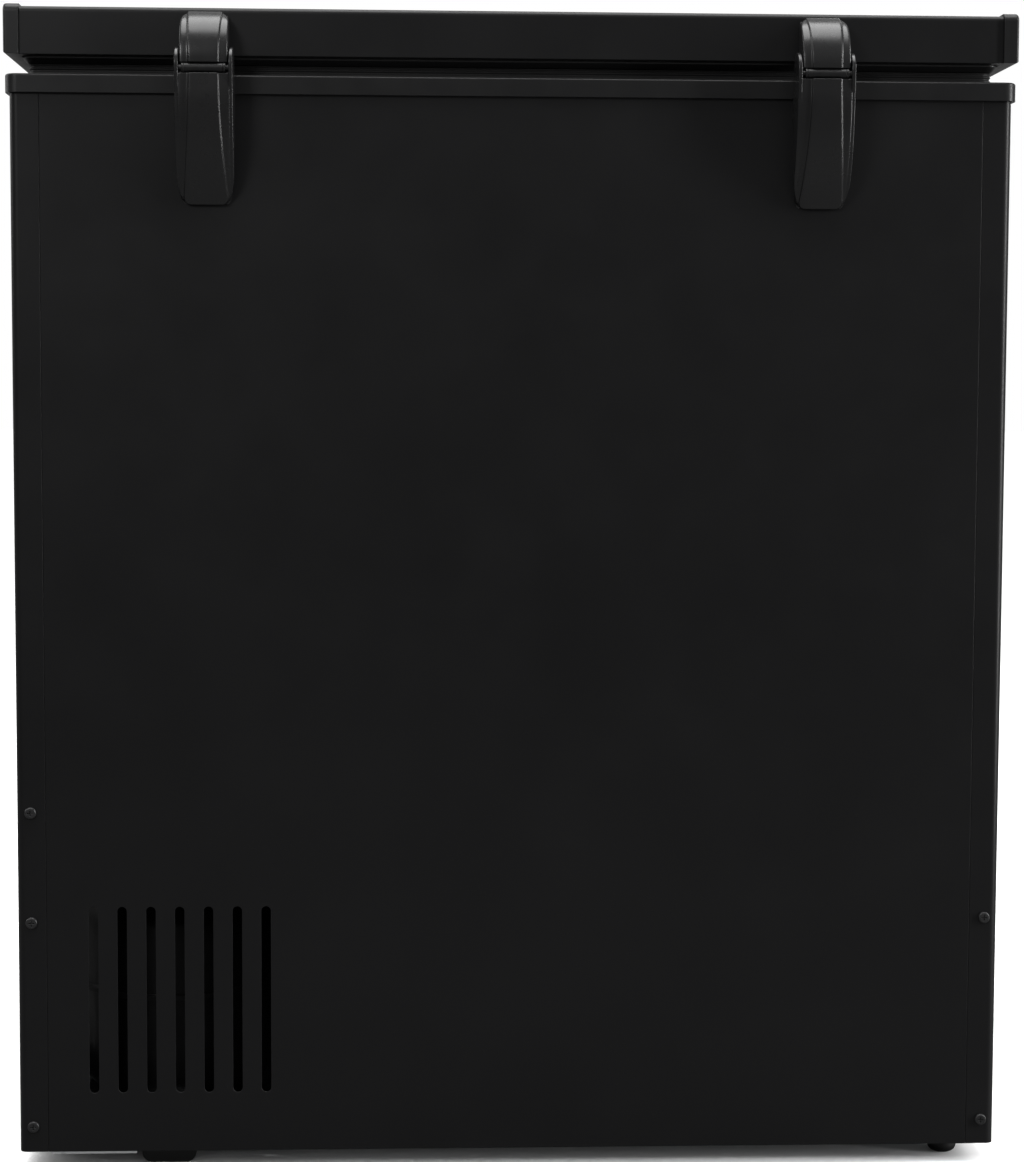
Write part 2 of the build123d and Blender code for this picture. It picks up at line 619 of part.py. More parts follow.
with BuildPart() as thermostat_body:
    with BuildSketch(front_plane(KNOB_X, PANEL_Z)):
        RectangleRounded(40, 30, 2)
    extrude(amount=-30)
    add(drill(front_plane(KNOB_X, PANEL_Z), SPINDLE_R + 0.08, 12), mode=Mode.SUBTRACT)
save(thermostat_body.part, "thermostat_body")
with BuildPart() as thermostat_spindle:
    with BuildSketch(front_plane(KNOB_X, PANEL_Z, FRONT + 11)):
        Circle(SPINDLE_R)
    extrude(amount=24)
save(thermostat_spindle.part, "thermostat_spindle")
with BuildPart() as thermostat_knob:
    with BuildSketch(front_plane(KNOB_X, PANEL_Z, FRONT - 3 - LOOSE)):
        Circle(KNOB_R)
    extrude(amount=5)
    with BuildSketch(front_plane(KNOB_X, PANEL_Z, FRONT - 8)):
        Circle(KNOB_R - 2.5)
        Rectangle(12, 2 * KNOB_R, mode=Mode.INTERSECT)
    extrude(amount=11)
    fillet(thermostat_knob.faces().sort_by(Axis.Y)[0].edges(), 1.5)
    add(drill(front_plane(KNOB_X, PANEL_Z, FRONT - 13), SPINDLE_R, 12), mode=Mode.SUBTRACT)
save(thermostat_knob.part, "thermostat_knob")
with BuildPart() as indicator_lamps:
    for x in LAMP_X:
        with BuildSketch(front_plane(x, PANEL_Z, FRONT - 4)):
            Circle(LAMP_R)
        extrude(amount=-12)
save(indicator_lamps.part, "indicator_lamps")

# ================= Drain =================
with BuildPart() as drain_outlet:
    with BuildSketch(front_plane(DRAIN_X, DRAIN_Z)):
        Circle(18)
        Circle(DRAIN_BORE_R, mode=Mode.SUBTRACT)
    extrude(amount=2.5)
save(drain_outlet.part, "drain_outlet")
with BuildPart() as drain_cap:
    with BuildSketch(front_plane(DRAIN_X, DRAIN_Z, FRONT - 2.5 - LOOSE)):
        Circle(15)
    extrude(amount=5)
    fillet(drain_cap.faces().sort_by(Axis.Y)[0].edges(), 1.5)
    with BuildSketch(front_plane(DRAIN_X, DRAIN_Z, FRONT - 7)):
        RectangleRounded(22, 4, 1.5)
    extrude(amount=7)
    with BuildSketch(front_plane(DRAIN_X, DRAIN_Z, FRONT - 3)):
        Circle(DRAIN_BORE_R - STOPPER_GAP)
    extrude(amount=-16)
save(drain_cap.part, "drain_cap")
with BuildPart() as drain_stopper:
    with Locations((DRAIN_X, DRAIN_Y, TUB_Z + LINER_T - STOPPER_L)):
        Cylinder(DRAIN_BORE_R - STOPPER_GAP, STOPPER_L + 1, align=(Align.CENTER, Align.CENTER, Align.MIN))
    with Locations((DRAIN_X, DRAIN_Y, TUB_Z + LINER_T + LOOSE)):
        Cylinder(14, 3, align=(Align.CENTER, Align.CENTER, Align.MIN))
        Box(4, 16, 9, align=(Align.CENTER, Align.CENTER, Align.MIN))
save(drain_stopper.part, "drain_stopper")

# ================= Lid =================
def lid_section(inset, z0, z1, x_half, radius):
    """A long block with the lid's section, rounded along its two upper edges."""
    with BuildPart() as block:
        with BuildSketch(Plane.YZ.offset(-x_half)) as side:
            with Locations(((LID_FRONT + LID_BACK) / 2, (z0 + z1) / 2)):
                Rectangle(LID_BACK - LID_FRONT - 2 * inset, z1 - z0)
            fillet(side.vertices().group_by(Axis.Y)[-1], radius)
        extrude(amount=2 * x_half)
    return block.part


def under_form(inset, lift):
    """The lid liner's outside: a rim with a bevelled edge, and the plug that enters the tub."""
    x, y0, y1 = SKIN_HALF - inset, LID_FRONT + CAP_W + inset, LID_BACK - CAP_W - inset
    with BuildPart() as form:
        extrude(plate(LID_Z0 - RIM_H + lift, -x, x, y0, y1, 10), amount=RIM_H)
        low = form.faces().sort_by(Axis.Z)[0]
        chamfer(low.edges(), RIM_H * 0.8)
        px = HALF_W - PLUG_INSET - inset
        plug_y0 = FRONT + PLUG_INSET + inset
        plug_y1 = BACK - PLUG_INSET - inset
        extrude(plate(LID_Z0 - RIM_H + lift, -px, px, plug_y0, plug_y1, 16), amount=-PLUG_DROP)
        chamfer(form.faces().sort_by(Axis.Z)[0].edges(), 6)
    return form.part


with BuildPart() as lid_skin:
    add(lid_section(0, LID_Z0, LID_Z1, SKIN_HALF, LID_R))
    add(lid_section(SHEET, LID_Z0 + SHEET, LID_Z1 - SHEET, SKIN_HALF + 5, LID_R - SHEET), mode=Mode.SUBTRACT)
    gap = plate(LID_Z0 - 1, -SKIN_HALF - 5, SKIN_HALF + 5, LID_FRONT + LID_RETURN, LID_BACK - LID_RETURN)
    extrude(gap, amount=SHEET + 2, mode=Mode.SUBTRACT)
    for place in leaf_screws:
        add(drill(place, SCREW_HOLE_R, 5), mode=Mode.SUBTRACT)
save(lid_skin.part, "lid_skin")

TONGUE = SHEET + FIT
for sign, name in ((-1, "lid_left_cap"), (1, "lid_right_cap")):
    with BuildPart() as cap:
        add(lid_section(-CAP_PROUD, LID_Z0, LID_Z1 + CAP_PROUD, LID_W / 2, LID_R + CAP_PROUD))
        x0 = sign * SKIN_HALF
        cut = plate(LID_Z0 - 5, *sorted((x0, -sign * 2 * LID_W)), LID_FRONT - 40, LID_BACK + 40)
        extrude(cut, amount=LID_H + 20, mode=Mode.SUBTRACT)
        outer = cap.faces().sort_by(Axis.X)[-1 if sign > 0 else 0]
        fillet(outer.edges(), 2.2)
        pocket = plate(LID_Z0 + 3, *sorted((x0 - sign, x0 + sign * (CAP_W - 3))), LID_FRONT + 3, LID_BACK - 3)
        extrude(pocket, amount=LID_H - 6, mode=Mode.SUBTRACT)
        tongue_d = LID_BACK - LID_FRONT - 2 * TONGUE
        tongue_h = LID_H - 2 * TONGUE
        with BuildSketch(Plane.YZ.offset(x0)):
            with Locations((MID_Y, (LID_Z0 + LID_Z1) / 2)):
                RectangleRounded(tongue_d, tongue_h, LID_R)
                RectangleRounded(tongue_d - 5, tongue_h - 5, 2, mode=Mode.SUBTRACT)
        extrude(amount=-sign * CAP_REACH)
    save(cap.part, name)

with BuildPart() as lid_liner:
    add(under_form(0, 0))
    add(under_form(LINER_WALL, LINER_WALL), mode=Mode.SUBTRACT)
save(lid_liner.part, "lid_liner")



def outside_liner(inset):
    """All the space below the lid's edge, less the room inside its liner."""
    with BuildPart() as space:
        low = plate(LID_Z0 - RIM_H - PLUG_DROP - 1, -LID_W, LID_W, LID_FRONT - 9, LID_BACK + 9)
        extrude(low, amount=RIM_H + PLUG_DROP + 1)
        add(under_form(inset, inset), mode=Mode.SUBTRACT)
    return space.part


FOAM_INSET = SHEET + FIT
FOAM_HALF = SKIN_HALF - CAP_REACH - FIT
with BuildPart() as lid_foam:
    add(lid_section(FOAM_INSET, LID_Z0 + FOAM_INSET, LID_Z1 - FOAM_INSET, FOAM_HALF, LID_R - 1))
    foam_y0 = LID_FRONT + LID_RETURN + FIT
    foam_y1 = LID_BACK - LID_RETURN - FIT
    lower = plate(LID_Z0 - RIM_H - PLUG_DROP, -FOAM_HALF, FOAM_HALF, foam_y0, foam_y1)
    extrude(lower, amount=RIM_H + PLUG_DROP + FOAM_INSET)
    add(outside_liner(LINER_WALL + FIT), mode=Mode.SUBTRACT)
    for place in leaf_screws:
        add(drill(place, SCREW_HOLE_R, 14), mode=Mode.SUBTRACT)
save(lid_foam.part, "lid_foam")

SEAL_Z0 = TRIM_Z1 + LOOSE
SEAL_H = LID_Z0 - RIM_H - SEAL_Z0
RIBS = 3
with BuildPart() as lid_gasket:
    body_inset = SEAL_INSET - OVERHANG
    step = SEAL_H / RIBS
    for rib in range(RIBS):
        z = SEAL_Z0 + rib * step
        extrude(ring(z, body_inset + 1.4, body_inset + SEAL_W - 1.4, 12, 6), amount=step)
        extrude(ring(z + 0.3 * step, body_inset, body_inset + SEAL_W, 13, 5), amount=step * 0.5)
save(lid_gasket.part, "lid_gasket")

HANDLE_W = 176.0
GRIP_T = 3.0
GRIP_DROP = 13.0
with BuildPart() as lid_handle:
    with BuildSketch(Plane.YZ.offset(-HANDLE_W / 2)) as side:
        with BuildLine():
            y1, y0 = LID_FRONT, LID_FRONT - HANDLE_OUT
            z1, z0 = LID_Z1 - 4, LID_Z0 - GRIP_DROP
            Line((y1, LID_Z0 + 2), (y1, z1))
            ThreePointArc((y1, z1), (y0 + 5.5, z1 - 5), (y0, z1 - 16))
            Polyline((y0, z1 - 16), (y0, z0), (y0 + GRIP_T, z0), (y0 + GRIP_T, z1 - 15))
            ThreePointArc((y0 + GRIP_T, z1 - 15), (y0 + 8, z1 - 8), (y1 - GRIP_T, z1 - 6))
            Polyline((y1 - GRIP_T, z1 - 6), (y1 - GRIP_T, LID_Z0 + 2), (y1, LID_Z0 + 2))
        make_face()
    extrude(amount=HANDLE_W)
    for x in (-HANDLE_W / 2, HANDLE_W / 2 - GRIP_T):
        with BuildSketch(Plane.YZ.offset(x)):
            with BuildLine():
                Polyline(
                    (y1, LID_Z0 + 2),
                    (y1, z1),
                    (y0 + 5.5, z1 - 5),
                    (y0, z1 - 16),
                    (y0, z0),
                    (y0 + 6, z0),
                    close=True,
                )
            make_face()
        extrude(amount=GRIP_T)
save(lid_handle.part, "lid_handle")

# ================= Hinges =================
def cover_plane(x):
    """Sketch plane across X, whose first axis runs rearwards and second runs up."""
    return Plane(origin=(x, BACK, 0), x_dir=(0, 1, 0), z_dir=(1, 0, 0))


AX = HINGE_OUT - KNUCKLE_R
SIT = 3.3  # the covers' edge beside the trim and the lid
for sign, side in ((-1, "left"), (1, "right")):
    cx = sign * HINGE_X

    with BuildPart() as pin:
        with BuildSketch(cover_plane(cx - COVER_W / 2 + LOOSE)):
            with Locations((AX, AXLE_Z)):
                Circle(PIN_R)
        extrude(amount=COVER_W - 2 * LOOSE)
    save(pin.part, f"{side}_hinge_pin")

    with BuildPart() as bracket:
        with BuildSketch(cover_plane(cx - BRACKET_W / 2)):
            with Locations((BRACKET_T / 2, (AXLE_Z - 89 + TRIM_Z0 - LOOSE) / 2)):
                Rectangle(BRACKET_T, TRIM_Z0 - LOOSE - AXLE_Z + 89)
        extrude(amount=BRACKET_W)
        for x in (cx - BRACKET_W / 2, cx + BRACKET_W / 2 - BRACKET_T):
            with BuildSketch(cover_plane(x)):
                with BuildLine():
                    Polyline(
                        (0, AXLE_Z - 70),
                        (0, TRIM_Z0 - LOOSE),
                        (SIT, TRIM_Z0 - LOOSE),
                        (SIT, AXLE_Z - 7),
                        (AX - 2.4, AXLE_Z + 2.4),
                        (AX + 1.1, AXLE_Z - 3),
                        (19, AXLE_Z - 30),
                        (10, AXLE_Z - 70),
                        close=True,
                    )
                make_face()
                with Locations((AX, AXLE_Z)):
                    Circle(KNUCKLE_R)
                    Circle(PIN_R + PIN_GAP, mode=Mode.SUBTRACT)
            extrude(amount=BRACKET_T)
        with BuildSketch(cover_plane(cx - BRACKET_W / 2 + 1)):
            with Locations((9, AXLE_Z - 60)):
                Rectangle(15, 2)
        extrude(amount=BRACKET_W - 2)
        for place in hinge_screws:
            add(drill(place, SCREW_HOLE_R, 3), mode=Mode.SUBTRACT)
    save(bracket.part, f"{side}_hinge_bracket")

    with BuildPart() as spring:
        with BuildLine():
            Helix(pitch=4.6, height=32, radius=5, center=(cx, BACK + 10, AXLE_Z - 57.7))
        with BuildSketch(Plane(origin=(cx + 5, BACK + 10, AXLE_Z - 57.7), z_dir=(0, 1, 0))):
            Circle(1.1)
        sweep(is_frenet=True)
    save(spring.part, f"{side}_hinge_spring")

    with BuildPart() as spring_rod:
        with Locations((cx, BACK + 10, AXLE_Z - 59)):
            Cylinder(2.4, 36, align=(Align.CENTER, Align.CENTER, Align.MIN))
        with Locations((cx, BACK + 10, AXLE_Z - 24.2)):
            Cylinder(6.5, 2.5, align=(Align.CENTER, Align.CENTER, Align.MIN))
    save(spring_rod.part, f"{side}_hinge_spring_rod")

    with BuildPart() as leaf:
        with BuildSketch(cover_plane(cx - LEAF_W / 2)):
            with Locations((OVERHANG + BRACKET_T / 2, LID_Z0 + 14.5)):
                Rectangle(BRACKET_T, 25)
        extrude(amount=LEAF_W)
        for x in (cx - LEAF_W / 2, cx + LEAF_W / 2 - BRACKET_T):
            with BuildSketch(cover_plane(x)):
                with BuildLine():
                    Polyline(
                        (OVERHANG, LID_Z0 + 2),
                        (OVERHANG, LID_Z0 + 27),
                        (OVERHANG + 2, LID_Z0 + 27),
                        (AX + 1, AXLE_Z + 3),
                        (AX - 2.4, AXLE_Z - 2.4),
                        close=True,
                    )
                make_face()
            extrude(amount=BRACKET_T)
        with BuildSketch(cover_plane(cx - LEAF_W / 2)):
            with Locations((AX, AXLE_Z)):
                Circle(KNUCKLE_R - 0.1)
        extrude(amount=LEAF_W)
        with BuildSketch(cover_plane(cx - LEAF_W / 2)):
            with Locations((AX, AXLE_Z)):
                Circle(PIN_R + PIN_GAP)
        extrude(amount=LEAF_W, mode=Mode.SUBTRACT)
        for place in leaf_screws:
            add(drill(place, SCREW_HOLE_R, 3), mode=Mode.SUBTRACT)
    save(leaf.part, f"{side}_hinge_leaf")

    with BuildPart() as upper:
        for inset, width, mode in ((0, UPPER_W, Mode.ADD), (COVER_T, UPPER_W - 2 * COVER_T, Mode.SUBTRACT)):
            low = AXLE_Z + KNUCKLE_R + 0.2 - inset
            back = SIT - 2 * inset
            with BuildSketch(cover_plane(cx - width / 2)):
                with BuildLine():
                    Polyline((back, LID_Z1 - 3 - inset), (back, low), (HINGE_OUT - inset, low),
                             (HINGE_OUT - inset, AXLE_Z + 8))
                    ThreePointArc((HINGE_OUT - inset, AXLE_Z + 8), (23 - inset, AXLE_Z + 29.1 - inset),
                                  (SIT + 2, LID_Z1 - 3 - inset))
                    Line((SIT + 2, LID_Z1 - 3 - inset), (back, LID_Z1 - 3 - inset))
                make_face()
            extrude(amount=width, mode=mode)
    save(upper.part, f"{side}_hinge_upper_cover")

    with BuildPart() as lower:
        end_z = AXLE_Z - COVER_DROP
        top_z = AXLE_Z - KNUCKLE_R - 0.2
        for inset, width, mode in ((0, COVER_W, Mode.ADD), (COVER_T, COVER_W - 2 * CHEEK_T, Mode.SUBTRACT)):
            lift = inset * 2
            with BuildSketch(cover_plane(cx - width / 2)):
                with BuildLine():
                    Polyline(
                        (HINGE_OUT - inset, AXLE_Z - 14),
                        (HINGE_OUT - inset, top_z + lift),
                        (SIT - lift, top_z + lift),
                        (SIT - lift, TRIM_Z0 - LOOSE),
                        (0.1 - inset, TRIM_Z0 - LOOSE),
                        (0.1 - inset, end_z + inset),
                        (3 - inset / 2, end_z + inset),
                    )
                    ThreePointArc((3 - inset / 2, end_z + inset), (22.9 - inset, end_z + 38.3),
                                  (HINGE_OUT - inset, AXLE_Z - 14))
                make_face()
            extrude(amount=width, mode=mode)
        for x in (cx - COVER_W / 2, cx + COVER_W / 2 - CHEEK_T):
            with BuildSketch(cover_plane(x)):
                with BuildLine():
                    Polyline((SIT, top_z - 2), (HINGE_OUT, top_z - 2), (HINGE_OUT, AXLE_Z + 2))
                    ThreePointArc((HINGE_OUT, AXLE_Z + 2), (27, AXLE_Z + 11), (19, AXLE_Z + 15.5))
                    Line((19, AXLE_Z + 15.5), (15, AXLE_Z + 15.5))
                    ThreePointArc((15, AXLE_Z + 15.5), (8, AXLE_Z + 11), (5, AXLE_Z + 1))
                    Line((5, AXLE_Z + 1), (SIT, top_z - 2))
                make_face()
            extrude(amount=CHEEK_T)
        with BuildSketch(cover_plane(cx - COVER_W / 2)):
            with Locations((AX, AXLE_Z)):
                Circle(PIN_R + PIN_GAP)
        extrude(amount=COVER_W, mode=Mode.SUBTRACT)
    save(lower.part, f"{side}_hinge_lower_cover")

with BuildPart() as hinge_bracket_screws:
    for place in hinge_screws:
        add(pan_screw(place, 12))
save(hinge_bracket_screws.part, "hinge_bracket_screws")
with BuildPart() as hinge_leaf_screws:
    for place in leaf_screws:
        add(pan_screw(place, 12))
save(hinge_leaf_screws.part, "hinge_leaf_screws")

# ================= Basket =================
OPEN_Y0 = FRONT + LIP_INSET + LIP_T
OPEN_Y1 = BACK - LIP_INSET - LIP_T
BY0, BY1 = OPEN_Y0 + BASKET_GAP, OPEN_Y1 - BASKET_GAP
BX0, BX1 = BASKET_X - BASKET_W / 2, BASKET_X + BASKET_W / 2
HANG_Z = LEDGE_Z + LOOSE + RIM_R
RIM_Z = HANG_Z - 1.4 * RIM_R
FLOOR_Z = RIM_Z - BASKET_H
HANG = (STEP_INSET + TRIM_T + LIP_INSET) / 2
BAND_DROP = 88.0  # the middle wire, below the rim


def spread(first, last, count):
    return [first + i * (last - first) / (count - 1) for i in range(count)]


with BuildPart() as wire_basket:
    for z in (RIM_Z, RIM_Z - BAND_DROP):
        seam_x = BASKET_X + 8
        for side_x in (BX0, BX1):
            half_loop = [(seam_x, BY0, z), (side_x, BY0, z), (side_x, BY1, z), (seam_x, BY1, z)]
            add(rod(half_loop, RIM_R, BASKET_R))
    inset = BASKET_R + 5
    for x in spread(BX0 + inset, BX1 - inset, HOOPS):
        add(rod([(x, BY0, RIM_Z), (x, BY0, FLOOR_Z), (x, BY1, FLOOR_Z), (x, BY1, RIM_Z)], WIRE_R, 18))
    for y in spread(BY0 + inset, BY1 - inset, STRINGERS):
        z = FLOOR_Z + 1.3 * WIRE_R
        add(rod([(BX0, y, RIM_Z), (BX0, y, z), (BX1, y, z), (BX1, y, RIM_Z)], WIRE_R, 18))
    for y_in, y_out in ((BY0 + 4, FRONT + HANG), (BY1 - 4, BACK - HANG)):
        x0 = BX0 + 45
        x1 = BX1 - 45
        add(rod([(x0, y_in, HANG_Z), (x0, y_out, HANG_Z), (x1, y_out, HANG_Z), (x1, y_in, HANG_Z)], RIM_R, 6))
save(wire_basket.part, "wire_basket")
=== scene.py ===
"""Chest freezer, seen from behind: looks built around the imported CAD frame. Metres, +Z up, front at -Y."""

import math

import bmesh
import bpy
from mathutils import Matrix, Vector


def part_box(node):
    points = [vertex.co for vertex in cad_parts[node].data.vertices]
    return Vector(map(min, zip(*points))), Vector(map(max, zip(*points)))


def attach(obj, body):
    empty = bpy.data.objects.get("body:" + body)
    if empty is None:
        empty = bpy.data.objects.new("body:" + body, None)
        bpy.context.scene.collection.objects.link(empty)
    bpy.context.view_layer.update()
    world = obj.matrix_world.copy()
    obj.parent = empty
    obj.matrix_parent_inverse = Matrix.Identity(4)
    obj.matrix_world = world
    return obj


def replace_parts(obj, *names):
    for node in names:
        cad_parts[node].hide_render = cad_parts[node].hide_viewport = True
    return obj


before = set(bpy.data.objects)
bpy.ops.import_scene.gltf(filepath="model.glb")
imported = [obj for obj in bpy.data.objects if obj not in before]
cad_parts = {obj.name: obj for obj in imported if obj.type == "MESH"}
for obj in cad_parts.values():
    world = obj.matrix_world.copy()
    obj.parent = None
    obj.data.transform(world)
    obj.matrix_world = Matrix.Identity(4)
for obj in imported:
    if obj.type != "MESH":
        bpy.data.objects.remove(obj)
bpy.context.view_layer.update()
scene = bpy.context.scene

MM = 0.001
HINGE_X = 0.222  # middle of each hinge, left and right of the centre
AXLE_Z = 0.8045  # the lid turns about this height
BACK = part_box("back_panel")[1].y
WHITE = (0.78, 0.79, 0.785)
SHADED_RIM_Z = 0.8105  # above this height the inner lid's edge round the seal is painted black: painted shade in the gap between lid and trim
AMBER_FROM_X, GREEN_FROM_X = 0.215, 0.233  # where the three lamp lenses part


# ---------------------------------------------------------------- materials
class Nodes:
    """Short names for the node calls of one material."""

    def __init__(self, name):
        self.mat = bpy.data.materials.new(name)
        self.mat.use_nodes = True
        self.tree = self.mat.node_tree
        self.tree.nodes.clear()
        self.out = self.add("ShaderNodeOutputMaterial")
        self.bsdf = self.add("ShaderNodeBsdfPrincipled")
        self.link(self.bsdf.outputs["BSDF"], self.out.inputs["Surface"])
        self.coord = self.add("ShaderNodeTexCoord").outputs["Object"]

    def add(self, kind, **settings):
        node = self.tree.nodes.new(kind)
        for key, value in settings.items():
            setattr(node, key, value)
        return node

    def link(self, a, b):
        self.tree.links.new(a, b)

    def noise(self, scale, detail=3.0, rough=0.55, stretch=None):
        node = self.add("ShaderNodeTexNoise")
        node.inputs["Scale"].default_value = scale
        node.inputs["Detail"].default_value = detail
        node.inputs["Roughness"].default_value = rough
        source = self.coord
        if stretch:
            mapping = self.add("ShaderNodeMapping")
            mapping.inputs["Scale"].default_value = stretch
            self.link(self.coord, mapping.inputs["Vector"])
            source = mapping.outputs["Vector"]
        self.link(source, node.inputs["Vector"])
        return node.outputs["Fac"]

    def cells(self, scale, output="Distance"):
        node = self.add("ShaderNodeTexVoronoi")
        node.inputs["Scale"].default_value = scale
        self.link(self.coord, node.inputs["Vector"])
        return node.outputs[output]

    def remap(self, value, from_low, from_high, low, high):
        node = self.add("ShaderNodeMapRange")
        node.inputs["From Min"].default_value = from_low
        node.inputs["From Max"].default_value = from_high
        node.inputs["To Min"].default_value = low
        node.inputs["To Max"].default_value = high
        self.link(value, node.inputs["Value"])
        return node.outputs["Result"]

    def math(self, operation, a, b):
        node = self.add("ShaderNodeMath", operation=operation)
        for socket, value in zip(node.inputs, (a, b)):
            if isinstance(value, (int, float)):
                socket.default_value = value
            else:
                self.link(value, socket)
        return node.outputs["Value"]

    def mix(self, factor, a, b):
        node = self.add("ShaderNodeMix", data_type="RGBA")
        self.link(factor, node.inputs["Factor"])
        for key, value in (("A", a), ("B", b)):
            socket = [s for s in node.inputs if s.name == key and s.type == "RGBA"][0]
            if isinstance(value, tuple):
                socket.default_value = (*value, 1.0)
            else:
                self.link(value, socket)
        return [s for s in node.outputs if s.type == "RGBA"][0]

    def bump(self, height, strength, distance, normal=None):
        node = self.add("ShaderNodeBump")
        node.inputs["Strength"].default_value = strength
        node.inputs["Distance"].default_value = distance
        self.link(height, node.inputs["Height"])
        if normal is not None:
            self.link(normal, node.inputs["Normal"])
        return node.outputs["Normal"]

    def rounded(self, radius):
        node = self.add("ShaderNodeBevel", samples=4)
        node.inputs["Radius"].default_value = radius
        return node.outputs["Normal"]

    def edge(self, rounded_normal, sharp):
        """1 where the rounded normal leaves the face's own, at edges, and 0 on flat faces."""
        flat = self.add("ShaderNodeNewGeometry").outputs["Normal"]
        dot = self.add("ShaderNodeVectorMath", operation="DOT_PRODUCT")
        self.link(rounded_normal, dot.inputs[0])
        self.link(flat, dot.inputs[1])
        return self.remap(dot.outputs["Value"], 1.0 - sharp, 1.0, 1.0, 0.0)


def finish_of(name, color, rough, metal=0.0, specular=0.5, vary=0.12, vary_scale=6.0, rough_vary=0.06,
              grain=900.0, grain_depth=0.00004, grain_strength=0.5, edge_radius=0.0006, wear=None,
              coat=0.0, stretch=None):
    """A moulded, painted or rolled surface.

    It has a cloudy tone, uneven gloss, fine grain and soft edges, which `wear` lightens.
    """
    n = Nodes(name)
    cloudy = n.noise(vary_scale, 4.0, 0.6, stretch)
    dark = tuple(c * (1 - vary) for c in color)
    light = tuple(min(1.0, c * (1 + vary)) for c in color)
    tone = n.mix(n.remap(cloudy, 0.3, 0.7, 0.0, 1.0), dark, light)
    patches = n.noise(vary_scale * 3.7, 5.0, 0.65, stretch)
    gloss = n.remap(patches, 0.3, 0.7, rough - rough_vary, rough + rough_vary)
    normal = n.rounded(edge_radius)
    if wear:
        worn = n.math("MULTIPLY", n.edge(normal, 0.25), n.remap(n.noise(70.0, 4.0), 0.42, 0.62, 0.15, 1.0))
        worn = n.math("MULTIPLY", worn, 0.6)
        tone = n.mix(worn, tone, wear)
        gloss = n.math("SUBTRACT", gloss, n.math("MULTIPLY", worn, 0.12))
    fine = n.noise(grain, 2.0, 0.5, stretch)
    normal = n.bump(fine, grain_strength, grain_depth, normal)
    n.link(tone, n.bsdf.inputs["Base Color"])
    n.link(gloss, n.bsdf.inputs["Roughness"])
    n.link(normal, n.bsdf.inputs["Normal"])
    n.bsdf.inputs["Metallic"].default_value = metal
    n.bsdf.inputs["Specular IOR Level"].default_value = specular
    n.bsdf.inputs["Coat Weight"].default_value = coat
    n.bsdf.inputs["Coat Roughness"].default_value = 0.25
    return n


def powder_coat():
    return finish_of(
        "powder_coat_black", (0.0042, 0.0042, 0.0044), 0.38, specular=0.12, vary=0.1, vary_scale=3.0,
        rough_vary=0.05, grain=1500.0, grain_depth=0.00003, grain_strength=0.35, edge_radius=0.0008,
        wear=(0.016, 0.016, 0.017)).mat


def textured_plastic(name, color, specular, rough, grain=2200.0, edge_radius=0.0006):
    return finish_of(
        name, color, rough, specular=specular, vary=0.08, vary_scale=9.0, rough_vary=0.05, grain=grain,
        grain_depth=0.00005, grain_strength=0.4, edge_radius=edge_radius, wear=(0.02, 0.02, 0.021)).mat


def galvanised_sheet():
    n = finish_of("galvanised_sheet", (0.5, 0.51, 0.52), 0.38, metal=1.0, vary=0.08, vary_scale=20.0,
                  grain=600.0, grain_strength=0.2)
    spangle = n.cells(90.0, output="Color")
    tone = n.mix(spangle, (0.42, 0.43, 0.44), (0.62, 0.63, 0.64))
    n.link(tone, n.bsdf.inputs["Base Color"])
    n.link(n.remap(spangle, 0.0, 1.0, 0.28, 0.48), n.bsdf.inputs["Roughness"])
    return n.mat


def stucco_liner():
    """Embossed aluminium sheet, the usual tub lining."""
    n = finish_of("stucco_aluminium", (0.78, 0.79, 0.8), 0.34, metal=1.0, vary=0.04, vary_scale=8.0,
                  edge_radius=0.0012)
    worm = n.noise(170.0, 1.0, 0.4)
    ridge = n.remap(n.math("ABSOLUTE", n.math("SUBTRACT", worm, 0.5), 0.0), 0.0, 0.12, 1.0, 0.0)
    n.link(n.bump(ridge, 0.55, 0.0005, n.rounded(0.0012)), n.bsdf.inputs["Normal"])
    return n.mat


def rigid_foam():
    n = finish_of("rigid_foam", (0.72, 0.6, 0.34), 0.9, specular=0.15, vary=0.12, vary_scale=14.0)
    pores = n.cells(420.0)
    n.link(n.bump(pores, 0.8, 0.0012), n.bsdf.inputs["Normal"])
    return n.mat


def tarnished_copper():
    clean = (0.66, 0.33, 0.2)
    n = finish_of("tarnished_copper", clean, 0.3, metal=1.0, vary=0.1, vary_scale=40.0, grain=500.0)
    stain = n.remap(n.noise(55.0, 5.0, 0.7), 0.5, 0.68, 0.0, 0.7)
    n.link(n.mix(stain, clean, (0.2, 0.09, 0.055)), n.bsdf.inputs["Base Color"])
    n.link(n.remap(stain, 0.0, 0.7, 0.24, 0.5), n.bsdf.inputs["Roughness"])
    return n.mat


def lamp_lens():
    """Three small lenses in a row: red, amber and green with rising X."""
    n = finish_of("lamp_lens", (0.2, 0.2, 0.2), 0.15, specular=0.5, vary=0.02, coat=0.5)
    split = n.add("ShaderNodeSeparateXYZ")
    n.link(n.coord, split.inputs["Vector"])
    green_part = n.math("GREATER_THAN", split.outputs["X"], GREEN_FROM_X)
    amber_part = n.math("GREATER_THAN", split.outputs["X"], AMBER_FROM_X)
    frost = n.noise(350.0, 2.0)
    red = n.mix(frost, (0.42, 0.01, 0.01), (0.5, 0.03, 0.02))
    amber = n.mix(amber_part, red, (0.6, 0.3, 0.02))
    n.link(n.mix(green_part, amber, (0.02, 0.36, 0.06)), n.bsdf.inputs["Base Color"])
    return n.mat


